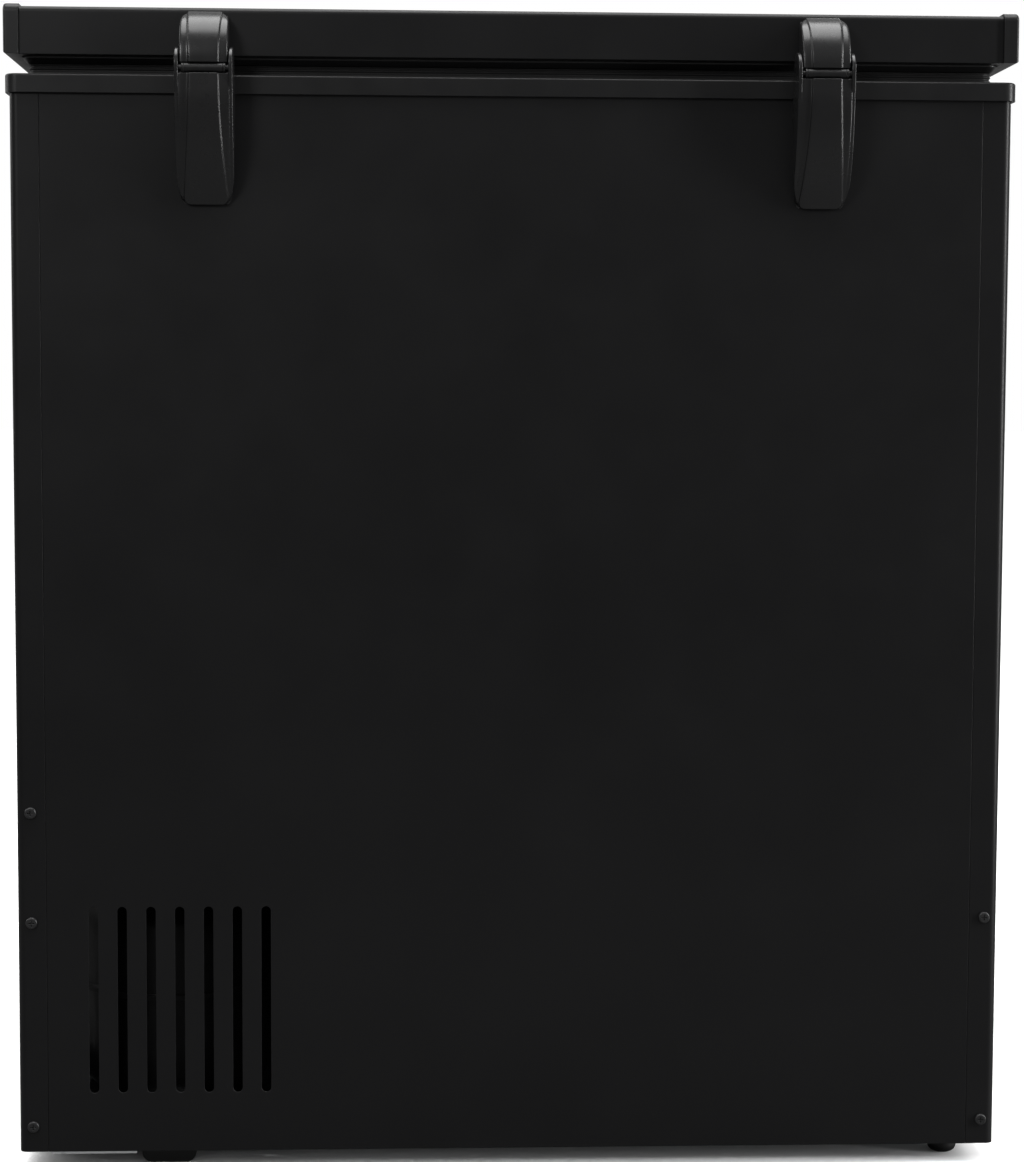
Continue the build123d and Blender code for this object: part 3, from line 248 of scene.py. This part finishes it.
def inner_lid_plastic():
    """White inner lid, whose edge round the seal is painted black: painted shade in the gap between lid and
    trim.
    """
    n = finish_of("inner_lid_white", WHITE, 0.36, specular=0.4, vary=0.015, vary_scale=5.0,
                  rough_vary=0.01, grain=240.0, grain_depth=0.00012, grain_strength=0.25,
                  edge_radius=0.0015)
    split = n.add("ShaderNodeSeparateXYZ")
    n.link(n.coord, split.inputs["Vector"])
    # painted shade: the inner lid turns black above this height, where the gap between lid and trim lies in
    # shade
    painted_shade_rim = n.math("GREATER_THAN", split.outputs["Z"], SHADED_RIM_Z)
    cloud = n.noise(5.0, 4.0)
    white = n.mix(cloud, tuple(c * 0.985 for c in WHITE), tuple(c * 1.015 for c in WHITE))
    n.link(n.mix(painted_shade_rim, white, (0.004, 0.004, 0.0042)), n.bsdf.inputs["Base Color"])
    return n.mat


mats = {
    "powder": powder_coat(),
    "trim": textured_plastic("trim_plastic_black", (0.005, 0.005, 0.0052), 0.15, 0.36),
    "cover": textured_plastic("hinge_cover_plastic", (0.0055, 0.0055, 0.0057), 0.24, 0.26,
                              grain=1700.0, edge_radius=0.0004),
    "foot": textured_plastic("foot_plastic_black", (0.006, 0.006, 0.006), 0.3, 0.55, grain=800.0),
    "panel": textured_plastic("panel_plastic_black", (0.011, 0.011, 0.0115), 0.4, 0.32),
    "galvanised": galvanised_sheet(),
    "liner": stucco_liner(),
    "foam": rigid_foam(),
    "copper": tarnished_copper(),
    "aluminium": finish_of(
        "drawn_aluminium", (0.72, 0.73, 0.74), 0.35, metal=1.0, vary=0.06, vary_scale=30.0,
        grain=400.0, stretch=(1.0, 1.0, 6.0)).mat,
    "enamel": finish_of(
        "compressor_enamel", (0.004, 0.004, 0.0042), 0.34, specular=0.16, vary=0.2, vary_scale=18.0,
        grain=260.0, grain_depth=0.0002, grain_strength=0.3, wear=(0.02, 0.018, 0.016)).mat,
    "rubber": finish_of(
        "seal_rubber", (0.006, 0.006, 0.0061), 0.6, specular=0.22, vary=0.15, vary_scale=25.0,
        grain=1300.0, grain_depth=0.00005).mat,
    "steel": finish_of(
        "blackened_steel", (0.012, 0.012, 0.0125), 0.38, metal=0.5, vary=0.15, vary_scale=90.0,
        grain=1500.0, edge_radius=0.0003, wear=(0.06, 0.06, 0.06)).mat,
    "lacquer": finish_of(
        "black_lacquered_steel", (0.0035, 0.0035, 0.0037), 0.4, specular=0.2, vary=0.2,
        vary_scale=80.0, grain=1200.0, edge_radius=0.0003, wear=(0.05, 0.05, 0.05)).mat,
    "bright": finish_of(
        "zinc_plated_steel", (0.42, 0.42, 0.41), 0.32, metal=1.0, vary=0.12, vary_scale=60.0,
        edge_radius=0.0003).mat,
    "white": finish_of(
        "white_plastic", WHITE, 0.3, vary=0.02, vary_scale=9.0, rough_vary=0.04, grain=240.0,
        grain_depth=0.00012, grain_strength=0.25, edge_radius=0.001).mat,
    "inner_lid": inner_lid_plastic(),
    "wire": finish_of(
        "white_coated_wire", (0.74, 0.75, 0.75), 0.35, vary=0.05, vary_scale=30.0, grain=500.0,
        grain_depth=0.00008, grain_strength=0.35).mat,
    "lamp": lamp_lens(),
    "print": finish_of(
        "dial_print", (0.62, 0.62, 0.61), 0.5, specular=0.3, vary=0.08, vary_scale=200.0).mat,
}
node_looks = {
    "powder": ["cabinet_wrap", "back_panel", "lid_skin"],
    "trim": ["top_trim", "lid_left_cap", "lid_right_cap", "lid_handle"],
    "foot": ["rear_left_foot", "front_left_foot", "front_right_foot", "rear_right_foot_pad",
             "drain_outlet", "relay_box", "thermostat_body"],
    "panel": ["control_panel"],
    "galvanised": ["base_plate", "compressor_tray", "machine_room_plate"],
    "liner": ["inner_liner"],
    "foam": ["cabinet_foam", "lid_foam"],
    "copper": ["suction_tube", "discharge_tube", "process_tube", "liquid_tube", "filter_drier",
               "capillary_tube", "condenser_coil"],
    "aluminium": ["evaporator_coil"],
    "enamel": ["compressor"],
    "rubber": ["compressor_grommets", "cord_grommet", "drain_cap", "drain_stopper"],
    "steel": ["back_panel_screws", "hinge_bracket_screws", "hinge_leaf_screws"],
    "lacquer": ["left_hinge_bracket", "right_hinge_bracket", "left_hinge_leaf", "right_hinge_leaf",
                "left_hinge_pin", "right_hinge_pin"],
    "bright": ["compressor_studs", "left_hinge_spring", "right_hinge_spring",
               "left_hinge_spring_rod", "right_hinge_spring_rod"],
    "white": ["drain_tube", "thermostat_spindle"],
    "inner_lid": ["lid_liner"],
    "wire": ["wire_basket"],
    "lamp": ["indicator_lamps"],
}
for look, names in node_looks.items():
    for node_name in names:
        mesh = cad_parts[node_name].data
        mesh.materials.clear()
        mesh.materials.append(mats[look])


# ---------------------------------------------------------------- mesh tools
def new_piece(name, verts, faces, look, body, smooth=True):
    """A mesh piece with outward normals that rides on a body."""
    mesh = bpy.data.meshes.new(name)
    mesh.from_pydata([tuple(v) for v in verts], [], faces)
    bm = bmesh.new()
    bm.from_mesh(mesh)
    bmesh.ops.recalc_face_normals(bm, faces=bm.faces)
    bm.to_mesh(mesh)
    bm.free()
    for polygon in mesh.polygons:
        polygon.use_smooth = smooth
    obj = bpy.data.objects.new(name, mesh)
    scene.collection.objects.link(obj)
    mesh.materials.append(mats[look])
    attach(obj, body)
    return obj


def modifier(obj, kind, **settings):
    made = obj.modifiers.new(kind.lower(), kind)
    for key, value in settings.items():
        setattr(made, key, value)


def grid_faces(rows, columns, close_rows=False, close_columns=False):
    """Quads of a grid of points stored row after row."""
    faces = []
    for r in range(rows if close_rows else rows - 1):
        for c in range(columns if close_columns else columns - 1):
            r2, c2 = (r + 1) % rows, (c + 1) % columns
            faces.append((r * columns + c, r * columns + c2, r2 * columns + c2, r2 * columns + c))
    return faces


def arc_point(a, b, c, t):
    """The point at share t of the arc through a, b and c, in two coordinates."""
    (ax, ay), (bx, by), (cx, cy) = a, b, c
    d = 2 * (ax * (by - cy) + bx * (cy - ay) + cx * (ay - by))
    aa, bb, cc = ax * ax + ay * ay, bx * bx + by * by, cx * cx + cy * cy
    ux = (aa * (by - cy) + bb * (cy - ay) + cc * (ay - by)) / d
    uy = (aa * (cx - bx) + bb * (ax - cx) + cc * (bx - ax)) / d
    radius = math.hypot(ax - ux, ay - uy)
    start = math.atan2(ay - uy, ax - ux)
    middle = math.atan2(by - uy, bx - ux)
    end = math.atan2(cy - uy, cx - ux)
    turn = (end - start) % (2 * math.pi)
    if (middle - start) % (2 * math.pi) > turn:
        turn -= 2 * math.pi
    angle = start + turn * t
    return ux + radius * math.cos(angle), uy + radius * math.sin(angle)


# ---------------------------------------------------------------- hinge covers
HINGE_OUT = 30.0 * MM  # how far the covers stand out from the back panel
SIT = 3.3 * MM  # how far the trim and the lid stand out from it, with a small gap
NEAR_PANEL = 0.3 * MM  # gap to the back panel itself
SPLIT = 3.7 * MM  # half the gap between upper and lower cover
THICK = 1.4 * MM
UPPER_TOP_Z = 0.847
TRIM_LOW_Z = 0.787  # below this the lower cover reaches in to the back panel
TRIM_CLEAR_Z = 0.7885  # and its cheeks step in here
UPPER_HALF = (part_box("right_hinge_upper_cover")[1].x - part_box("right_hinge_upper_cover")[0].x) / 2
LOWER_HALF = (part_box("right_hinge_lower_cover")[1].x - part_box("right_hinge_lower_cover")[0].x) / 2


def cover_section(half, band, base, out, normal):
    """One cross-section of a hinge cover: flank, shoulder, raised band, shoulder, flank.

    Each spot is a distance from the middle and a depth in mm below the band, or None at the base.
    """
    spots = [(half, None), (half, 4.2), (half - 0.25 * MM, 2.4), (half - 1.0 * MM, 1.7),
             (half - 2.2 * MM, 1.5), (band + 1.5 * MM, 1.5), (band + 0.7 * MM, 1.35),
             (band + 0.25 * MM, 0.75), (band, 0.15), (band - 0.7 * MM, 0.0), (band * 0.5, 0.0)]
    points = []
    for x, depth in [(-x, d) for x, d in spots] + [(0.0, 0.0)] + list(reversed(spots)):
        if depth is None:
            points.append((x, base[0], base[1]))
        else:
            points.append((x, out[0] - normal[0] * depth * MM, out[1] - normal[1] * depth * MM))
    return points


def cover_mesh(name, cx, path, halves, bands, bases, body, side):
    """A cover's shell, lofted through one cross-section for each point of its path."""
    rows, count = [], len(path)
    for i, (y, z) in enumerate(path):
        before, after = path[max(0, i - 1)], path[min(count - 1, i + 1)]
        along = Vector((after[0] - before[0], after[1] - before[1])).normalized()
        normal = (along.y * side, -along.x * side)
        section = cover_section(halves[i], bands[i], bases[i], (y, z), normal)
        rows.append([(cx + x, BACK + max(py, bases[i][0]), pz) for x, py, pz in section])
    columns = len(rows[0])
    verts = [point for row in rows for point in row]
    obj = new_piece(name, verts, grid_faces(count, columns), "cover", body)
    modifier(obj, "SOLIDIFY", thickness=THICK, offset=-1.0, use_even_offset=False)
    modifier(obj, "SUBSURF", levels=2, render_levels=2)
    return obj


def ease(a, b, t, power=1.0):
    return a + (b - a) * t**power


def upper_cover(side_name, cx):
    low = AXLE_Z + SPLIT
    bend = AXLE_Z + 8 * MM
    start = [(HINGE_OUT, low), (HINGE_OUT, low + 0.5 * MM), (HINGE_OUT, (low + bend) / 2)]
    corners = ((HINGE_OUT, bend), (23 * MM, AXLE_Z + 29.1 * MM), (SIT + 2 * MM, UPPER_TOP_Z))
    path = start + [arc_point(*corners, t / 14) for t in range(15)]
    count = len(path)
    halves, bands, bases = [], [], []
    for i, (_, z) in enumerate(path):
        t = i / (count - 1)
        shrink = 3.2 * MM * max(0.0, (t - 0.72) / 0.28) ** 2
        halves.append(UPPER_HALF - shrink)
        bands.append(ease(10.2 * MM, 12.2 * MM, t, 1.6))
        bases.append((SIT, min(z, UPPER_TOP_Z - 2.2 * MM)))
    return cover_mesh(f"{side_name}_hinge_upper_shell", cx, path, halves, bands, bases, "lid", 1)


def lower_path():
    """The lower cover's outline from its top edge down to its end, seen from the side."""
    top = AXLE_Z - SPLIT
    bend = AXLE_Z - 14 * MM
    end = AXLE_Z - 95 * MM
    start = [(HINGE_OUT, top), (HINGE_OUT, top - 0.5 * MM), (HINGE_OUT, (top + bend) / 2)]
    corners = ((HINGE_OUT, bend), (22.9 * MM, end + 38.3 * MM), (3 * MM, end))
    arc = [arc_point(*corners, t / 20) for t in range(20)]
    return start + arc + [arc_point(*corners, 0.985), corners[2]]


def lower_cover(side_name, cx):
    path = lower_path()
    top, end = path[0][1], path[-1][1]
    halves, bands, bases = [], [], []
    for _, z in path:
        t = (top - z) / (top - end)
        near_end = max(0.0, 1 - (z - end) / (9 * MM))
        round_off = 5.0 * MM * (1 - math.sqrt(max(0.0, 1 - near_end**2)))
        halves.append(LOWER_HALF - 1.5 * MM - round_off)
        bands.append(min(ease(10.2 * MM, 16.0 * MM, t, 1.7), halves[-1] - 2.3 * MM))
        bases.append((NEAR_PANEL if z < TRIM_LOW_Z else SIT, max(z, end + 0.3 * MM)))
    return cover_mesh(f"{side_name}_hinge_lower_shell", cx, path, halves, bands, bases, "cabinet", -1)


def cheek(name, outer_x, inward):
    """One side wall of the lower cover.

    It stands up beside the upper cover and tapers away to the lower cover's end.
    """
    top = AXLE_Z + 15.5 * MM
    outline = [(HINGE_OUT - 0.4 * MM, AXLE_Z - 8 * MM), (HINGE_OUT, AXLE_Z + 2 * MM)]
    front_arc = (outline[-1], (27 * MM, AXLE_Z + 11 * MM), (19 * MM, top))
    outline += [arc_point(*front_arc, t / 8) for t in range(1, 9)]
    back_arc = ((15 * MM, top), (8 * MM, AXLE_Z + 11 * MM), (5 * MM, AXLE_Z + 1 * MM))
    outline += [arc_point(*back_arc, t / 6) for t in range(7)]
    outline += [(SIT, AXLE_Z - 4 * MM), (SIT, TRIM_CLEAR_Z), (NEAR_PANEL, TRIM_CLEAR_Z)]
    run = [(y - 1.9 * MM, z) for y, z in lower_path()[3:-2]]
    outline += [(NEAR_PANEL, run[-1][1] - 1.5 * MM)] + list(reversed(run))
    n = len(outline)
    tuck = [max(0.0, 1.0 - (z - run[-1][1]) / (16 * MM)) ** 2 * 4.0 * MM for _, z in outline]
    verts = [(outer_x + inward * (in_x + tuck[i]), BACK + y, z)
             for in_x in (0.0, 2.8 * MM) for i, (y, z) in enumerate(outline)]
    faces = [tuple(range(n)), tuple(reversed(range(n, 2 * n)))]
    faces += [(i, (i + 1) % n, n + (i + 1) % n, n + i) for i in range(n)]
    obj = new_piece(name, verts, faces, "cover", "cabinet")
    bm = bmesh.new()
    bm.from_mesh(obj.data)
    bmesh.ops.triangulate(bm, faces=[f for f in bm.faces if len(f.verts) > 4])
    bm.to_mesh(obj.data)
    bm.free()
    modifier(obj, "BEVEL", width=1.0 * MM, segments=4, limit_method="ANGLE", angle_limit=math.radians(50))
    modifier(obj, "WEIGHTED_NORMAL", keep_sharp=True)


for side_name, sign in (("left", -1), ("right", 1)):
    cx = sign * HINGE_X
    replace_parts(upper_cover(side_name, cx), f"{side_name}_hinge_upper_cover")
    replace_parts(lower_cover(side_name, cx), f"{side_name}_hinge_lower_cover")
    cheek(f"{side_name}_hinge_cheek_a", cx - LOWER_HALF, 1)
    cheek(f"{side_name}_hinge_cheek_b", cx + LOWER_HALF, -1)


# ---------------------------------------------------------------- lid gasket
def rounded_loop(x0, x1, y0, y1, radius, corner_steps=8, side_steps=6):
    """Points and outward directions round a rectangle with rounded corners."""
    points = []
    corners = ((x1 - radius, y1 - radius, 0), (x0 + radius, y1 - radius, 90),
               (x0 + radius, y0 + radius, 180), (x1 - radius, y0 + radius, 270))
    for index, (cx, cy, start) in enumerate(corners):
        for step in range(corner_steps + 1):
            a = math.radians(start + 90 * step / corner_steps)
            dx, dy = math.cos(a), math.sin(a)
            points.append((cx + radius * dx, cy + radius * dy, dx, dy))
        nx, ny, next_start = corners[(index + 1) % 4]
        a = math.radians(next_start)
        ax, ay = points[-1][0], points[-1][1]
        bx, by = nx + radius * math.cos(a), ny + radius * math.sin(a)
        for step in range(1, side_steps):
            t = step / side_steps
            points.append((ax + (bx - ax) * t, ay + (by - ay) * t, math.cos(a), math.sin(a)))
    return points


def gasket():
    """Bellows seal: a soft magnet bulb at the bottom, two folds, and a flange at the inner lid.

    Each row of `profile` is how full the seal is, 0 to 1, and its share of the height.
    """
    low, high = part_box("lid_gasket")
    z0, tall = low.z, high.z - low.z
    profile = [(0.9, 0.08), (1.0, 0.2), (0.75, 0.32), (0.35, 0.38), (0.3, 0.46), (0.7, 0.54),
               (0.95, 0.6), (0.7, 0.68), (0.3, 0.74), (0.3, 0.82), (0.85, 0.9), (1.0, 1.0)]
    wide, groove = 20.0 * MM, 1.8 * MM
    section = [(-groove * (1 - u), z0 + tall * v) for u, v in profile]
    section += [(-wide + groove * (1 - u), z0 + tall * v) for u, v in reversed(profile)]
    section += [(-wide + 3 * MM, z0), (-wide / 2, z0 + 0.25 * MM), (-3 * MM, z0)]
    loop = rounded_loop(low.x, high.x, low.y, high.y, 9 * MM)
    verts = [(x + dx * u, y + dy * u, z) for x, y, dx, dy in loop for u, z in section]
    faces = grid_faces(len(loop), len(section), close_rows=True, close_columns=True)
    obj = new_piece("lid_gasket_bellows", verts, faces, "rubber", "lid")
    modifier(obj, "SUBSURF", levels=1, render_levels=1)
    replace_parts(obj, "lid_gasket")


gasket()


# ---------------------------------------------------------------- thermostat knob and dial
def knob():
    """Moulded knob with a gripped skirt and a raised mark. Returns its middle and radius.

    Each ring is its share of the radius, its share of the depth, and 1 where the skirt is gripped.
    """
    low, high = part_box("thermostat_knob")
    centre = (low + high) / 2
    radius = (high.x - low.x) / 2
    depth = high.y - low.y
    around = 96
    rings = [(0.97, 0.0, 0), (1.0, 0.06, 1), (1.0, 0.3, 1), (0.975, 0.4, 1), (0.93, 0.45, 0),
             (0.9, 0.47, 0), (0.88, 0.6, 0), (0.86, 0.9, 0), (0.83, 0.97, 0), (0.77, 1.0, 0),
             (0.3, 1.0, 0), (0.02, 1.0, 0)]
    verts = []
    for share, out, gripped in rings:
        for step in range(around):
            a = 2 * math.pi * step / around
            r = radius * share
            if gripped:
                r -= 0.5 * MM * (0.5 - 0.5 * math.cos(24 * a))
            verts.append((centre.x + r * math.cos(a), high.y - depth * out, centre.z + r * math.sin(a)))
    faces = grid_faces(len(rings), around, close_columns=True)
    faces.append(tuple(range(around)))
    faces.append(tuple(range((len(rings) - 1) * around, len(rings) * around)))
    obj = new_piece("thermostat_dial_knob", verts, faces, "panel", "knob")
    modifier(obj, "WEIGHTED_NORMAL", keep_sharp=True)
    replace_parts(obj, "thermostat_knob")
    mark_half, reach = 0.7 * MM, radius * 0.7
    y_face = low.y + 0.05 * MM
    inner = radius * 0.35
    corners = [(-mark_half, inner), (mark_half, inner), (mark_half, reach), (-mark_half, reach)]
    verts = [(centre.x + u, y, centre.z + v)
             for y in (y_face, y_face + 0.4 * MM) for u, v in corners]
    faces = [(0, 1, 2, 3), (7, 6, 5, 4), (0, 4, 5, 1), (1, 5, 6, 2), (2, 6, 7, 3), (3, 7, 4, 0)]
    mark = new_piece("thermostat_knob_mark", verts, faces, "print", "knob",
                     smooth=False)
    modifier(mark, "BEVEL", width=0.15 * MM, segments=2)
    return centre, radius


def dial_numbers(centre, radius):
    """The numbers 1 to 7 round the knob, on the control panel."""
    reach = radius + 6.2 * MM
    upright = Matrix.Rotation(math.radians(90), 4, "X")
    face_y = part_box("control_panel")[0].y
    for number in range(1, 8):
        a = math.radians(90 - (number - 1) * 45)
        curve = bpy.data.curves.new(f"dial_number_{number}", "FONT")
        curve.body = str(number)
        curve.size = 6.5 * MM
        curve.extrude = 0.05 * MM
        curve.align_x = "CENTER"
        curve.align_y = "CENTER"
        curve.materials.append(mats["print"])
        obj = bpy.data.objects.new(f"dial_number_{number}", curve)
        scene.collection.objects.link(obj)
        spot = (centre.x + reach * math.cos(a), face_y, centre.z + reach * math.sin(a))
        obj.matrix_world = Matrix.Translation(spot) @ upright
        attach(obj, "cabinet")


dial_numbers(*knob())


# ---------------------------------------------------------------- studio
def floor():
    """A pale floor that looks near white to the camera and throws less light on the object."""
    half = 30.0
    mesh = bpy.data.meshes.new("studio_floor")
    corners = [(-half, -half, 0), (half, -half, 0), (half, half, 0), (-half, half, 0)]
    mesh.from_pydata(corners, [], [(0, 1, 2, 3)])
    obj = bpy.data.objects.new("studio_floor", mesh)
    scene.collection.objects.link(obj)
    n = finish_of("studio_floor_paint", (0.88, 0.88, 0.88), 0.85, specular=0.1, vary=0.01,
                  vary_scale=0.5, grain=40.0)
    seen = n.add("ShaderNodeLightPath").outputs["Is Camera Ray"]
    cloud = n.mix(n.noise(0.5, 3.0), (0.87, 0.87, 0.87), (0.89, 0.89, 0.89))
    n.link(n.mix(seen, (0.15, 0.15, 0.15), cloud), n.bsdf.inputs["Base Color"])
    mesh.materials.append(n.mat)


def softbox(name, place, target, width, height, power):
    light = bpy.data.lights.new(name, "AREA")
    light.shape = "RECTANGLE"
    light.size = width
    light.size_y = height
    light.energy = power
    obj = bpy.data.objects.new(name, light)
    scene.collection.objects.link(obj)
    obj.location = place
    obj.rotation_mode = "QUATERNION"
    obj.rotation_quaternion = (Vector(target) - Vector(place)).to_track_quat("-Z", "Y")
    obj.visible_camera = False


def overhead_sun(strength, spread):
    """Very soft light from straight above, which lights the floor evenly to the horizon."""
    light = bpy.data.lights.new("overhead", "SUN")
    light.energy = strength
    light.angle = math.radians(spread)
    scene.collection.objects.link(bpy.data.objects.new("overhead", light))


def studio_world():
    """White to the camera. Its light on the object grows from the floor up."""
    world = bpy.data.worlds.new("studio_world")
    scene.world = world
    world.use_nodes = True
    tree = world.node_tree
    tree.nodes.clear()
    out = tree.nodes.new("ShaderNodeOutputWorld")
    seen = tree.nodes.new("ShaderNodeBackground")
    lit = tree.nodes.new("ShaderNodeBackground")
    for background in (seen, lit):
        background.inputs["Color"].default_value = (1.0, 1.0, 1.0, 1.0)
    seen.inputs["Strength"].default_value = 1.0
    sky = tree.nodes.new("ShaderNodeTexCoord")
    height = tree.nodes.new("ShaderNodeSeparateXYZ")
    glow = tree.nodes.new("ShaderNodeMapRange")
    for key, number in (("From Min", -0.1), ("From Max", 0.4), ("To Min", 0.03), ("To Max", 0.6)):
        glow.inputs[key].default_value = number
    ray = tree.nodes.new("ShaderNodeLightPath")
    mixed = tree.nodes.new("ShaderNodeMixShader")
    tree.links.new(sky.outputs["Generated"], height.inputs["Vector"])
    tree.links.new(height.outputs["Z"], glow.inputs["Value"])
    tree.links.new(glow.outputs["Result"], lit.inputs["Strength"])
    tree.links.new(ray.outputs["Is Camera Ray"], mixed.inputs["Fac"])
    tree.links.new(lit.outputs["Background"], mixed.inputs[1])
    tree.links.new(seen.outputs["Background"], mixed.inputs[2])
    tree.links.new(mixed.outputs["Shader"], out.inputs["Surface"])


floor()
softbox("top_softbox", (0.0, 0.3, 2.6), (0.0, 0.0, 0.0), 1.6, 1.6, 45)
overhead_sun(2.75, 50)
softbox("rear_right_strip", (-2.3, 0.95, 1.15), (-0.1, 0.26, 0.75), 0.3, 2.2, 98)
softbox("rear_left_softbox", (1.35, 2.3, 1.75), (0.3, 0.26, 0.75), 0.7, 0.7, 34)
softbox("side_softbox", (3.0, -0.9, 1.9), (0.2, 0.0, 0.5), 1.8, 1.8, 45)
softbox("front_softbox", (-1.6, -2.6, 1.8), (0.0, 0.0, 0.5), 1.6, 1.6, 35)
studio_world()
scene.view_settings.view_transform = "Standard"

# ---------------------------------------------------------------- camera, fitted to the photo
CAMERA_AT = Vector((0.0853, BACK + 1.8642, 0.5818))
YAW, PITCH, ROLL = (math.radians(a) for a in (2.597, 4.394, 0.237))
SENSOR_WIDTH, FOCAL_LENGTH = 36.0, 79.16

look = Vector((-math.sin(YAW) * math.cos(PITCH), -math.cos(YAW) * math.cos(PITCH), -math.sin(PITCH)))
level_right = look.cross(Vector((0, 0, 1))).normalized()
level_up = level_right.cross(look)
right = math.cos(ROLL) * level_right + math.sin(ROLL) * level_up
up = math.cos(ROLL) * level_up - math.sin(ROLL) * level_right
camera_data = bpy.data.cameras.new("camera")
camera_data.sensor_width = SENSOR_WIDTH
camera_data.lens = FOCAL_LENGTH
camera = bpy.data.objects.new("camera", camera_data)
scene.collection.objects.link(camera)
turned = Matrix((right, up, -look)).transposed().to_4x4()
camera.matrix_world = Matrix.Translation(CAMERA_AT) @ turned
scene.camera = camera
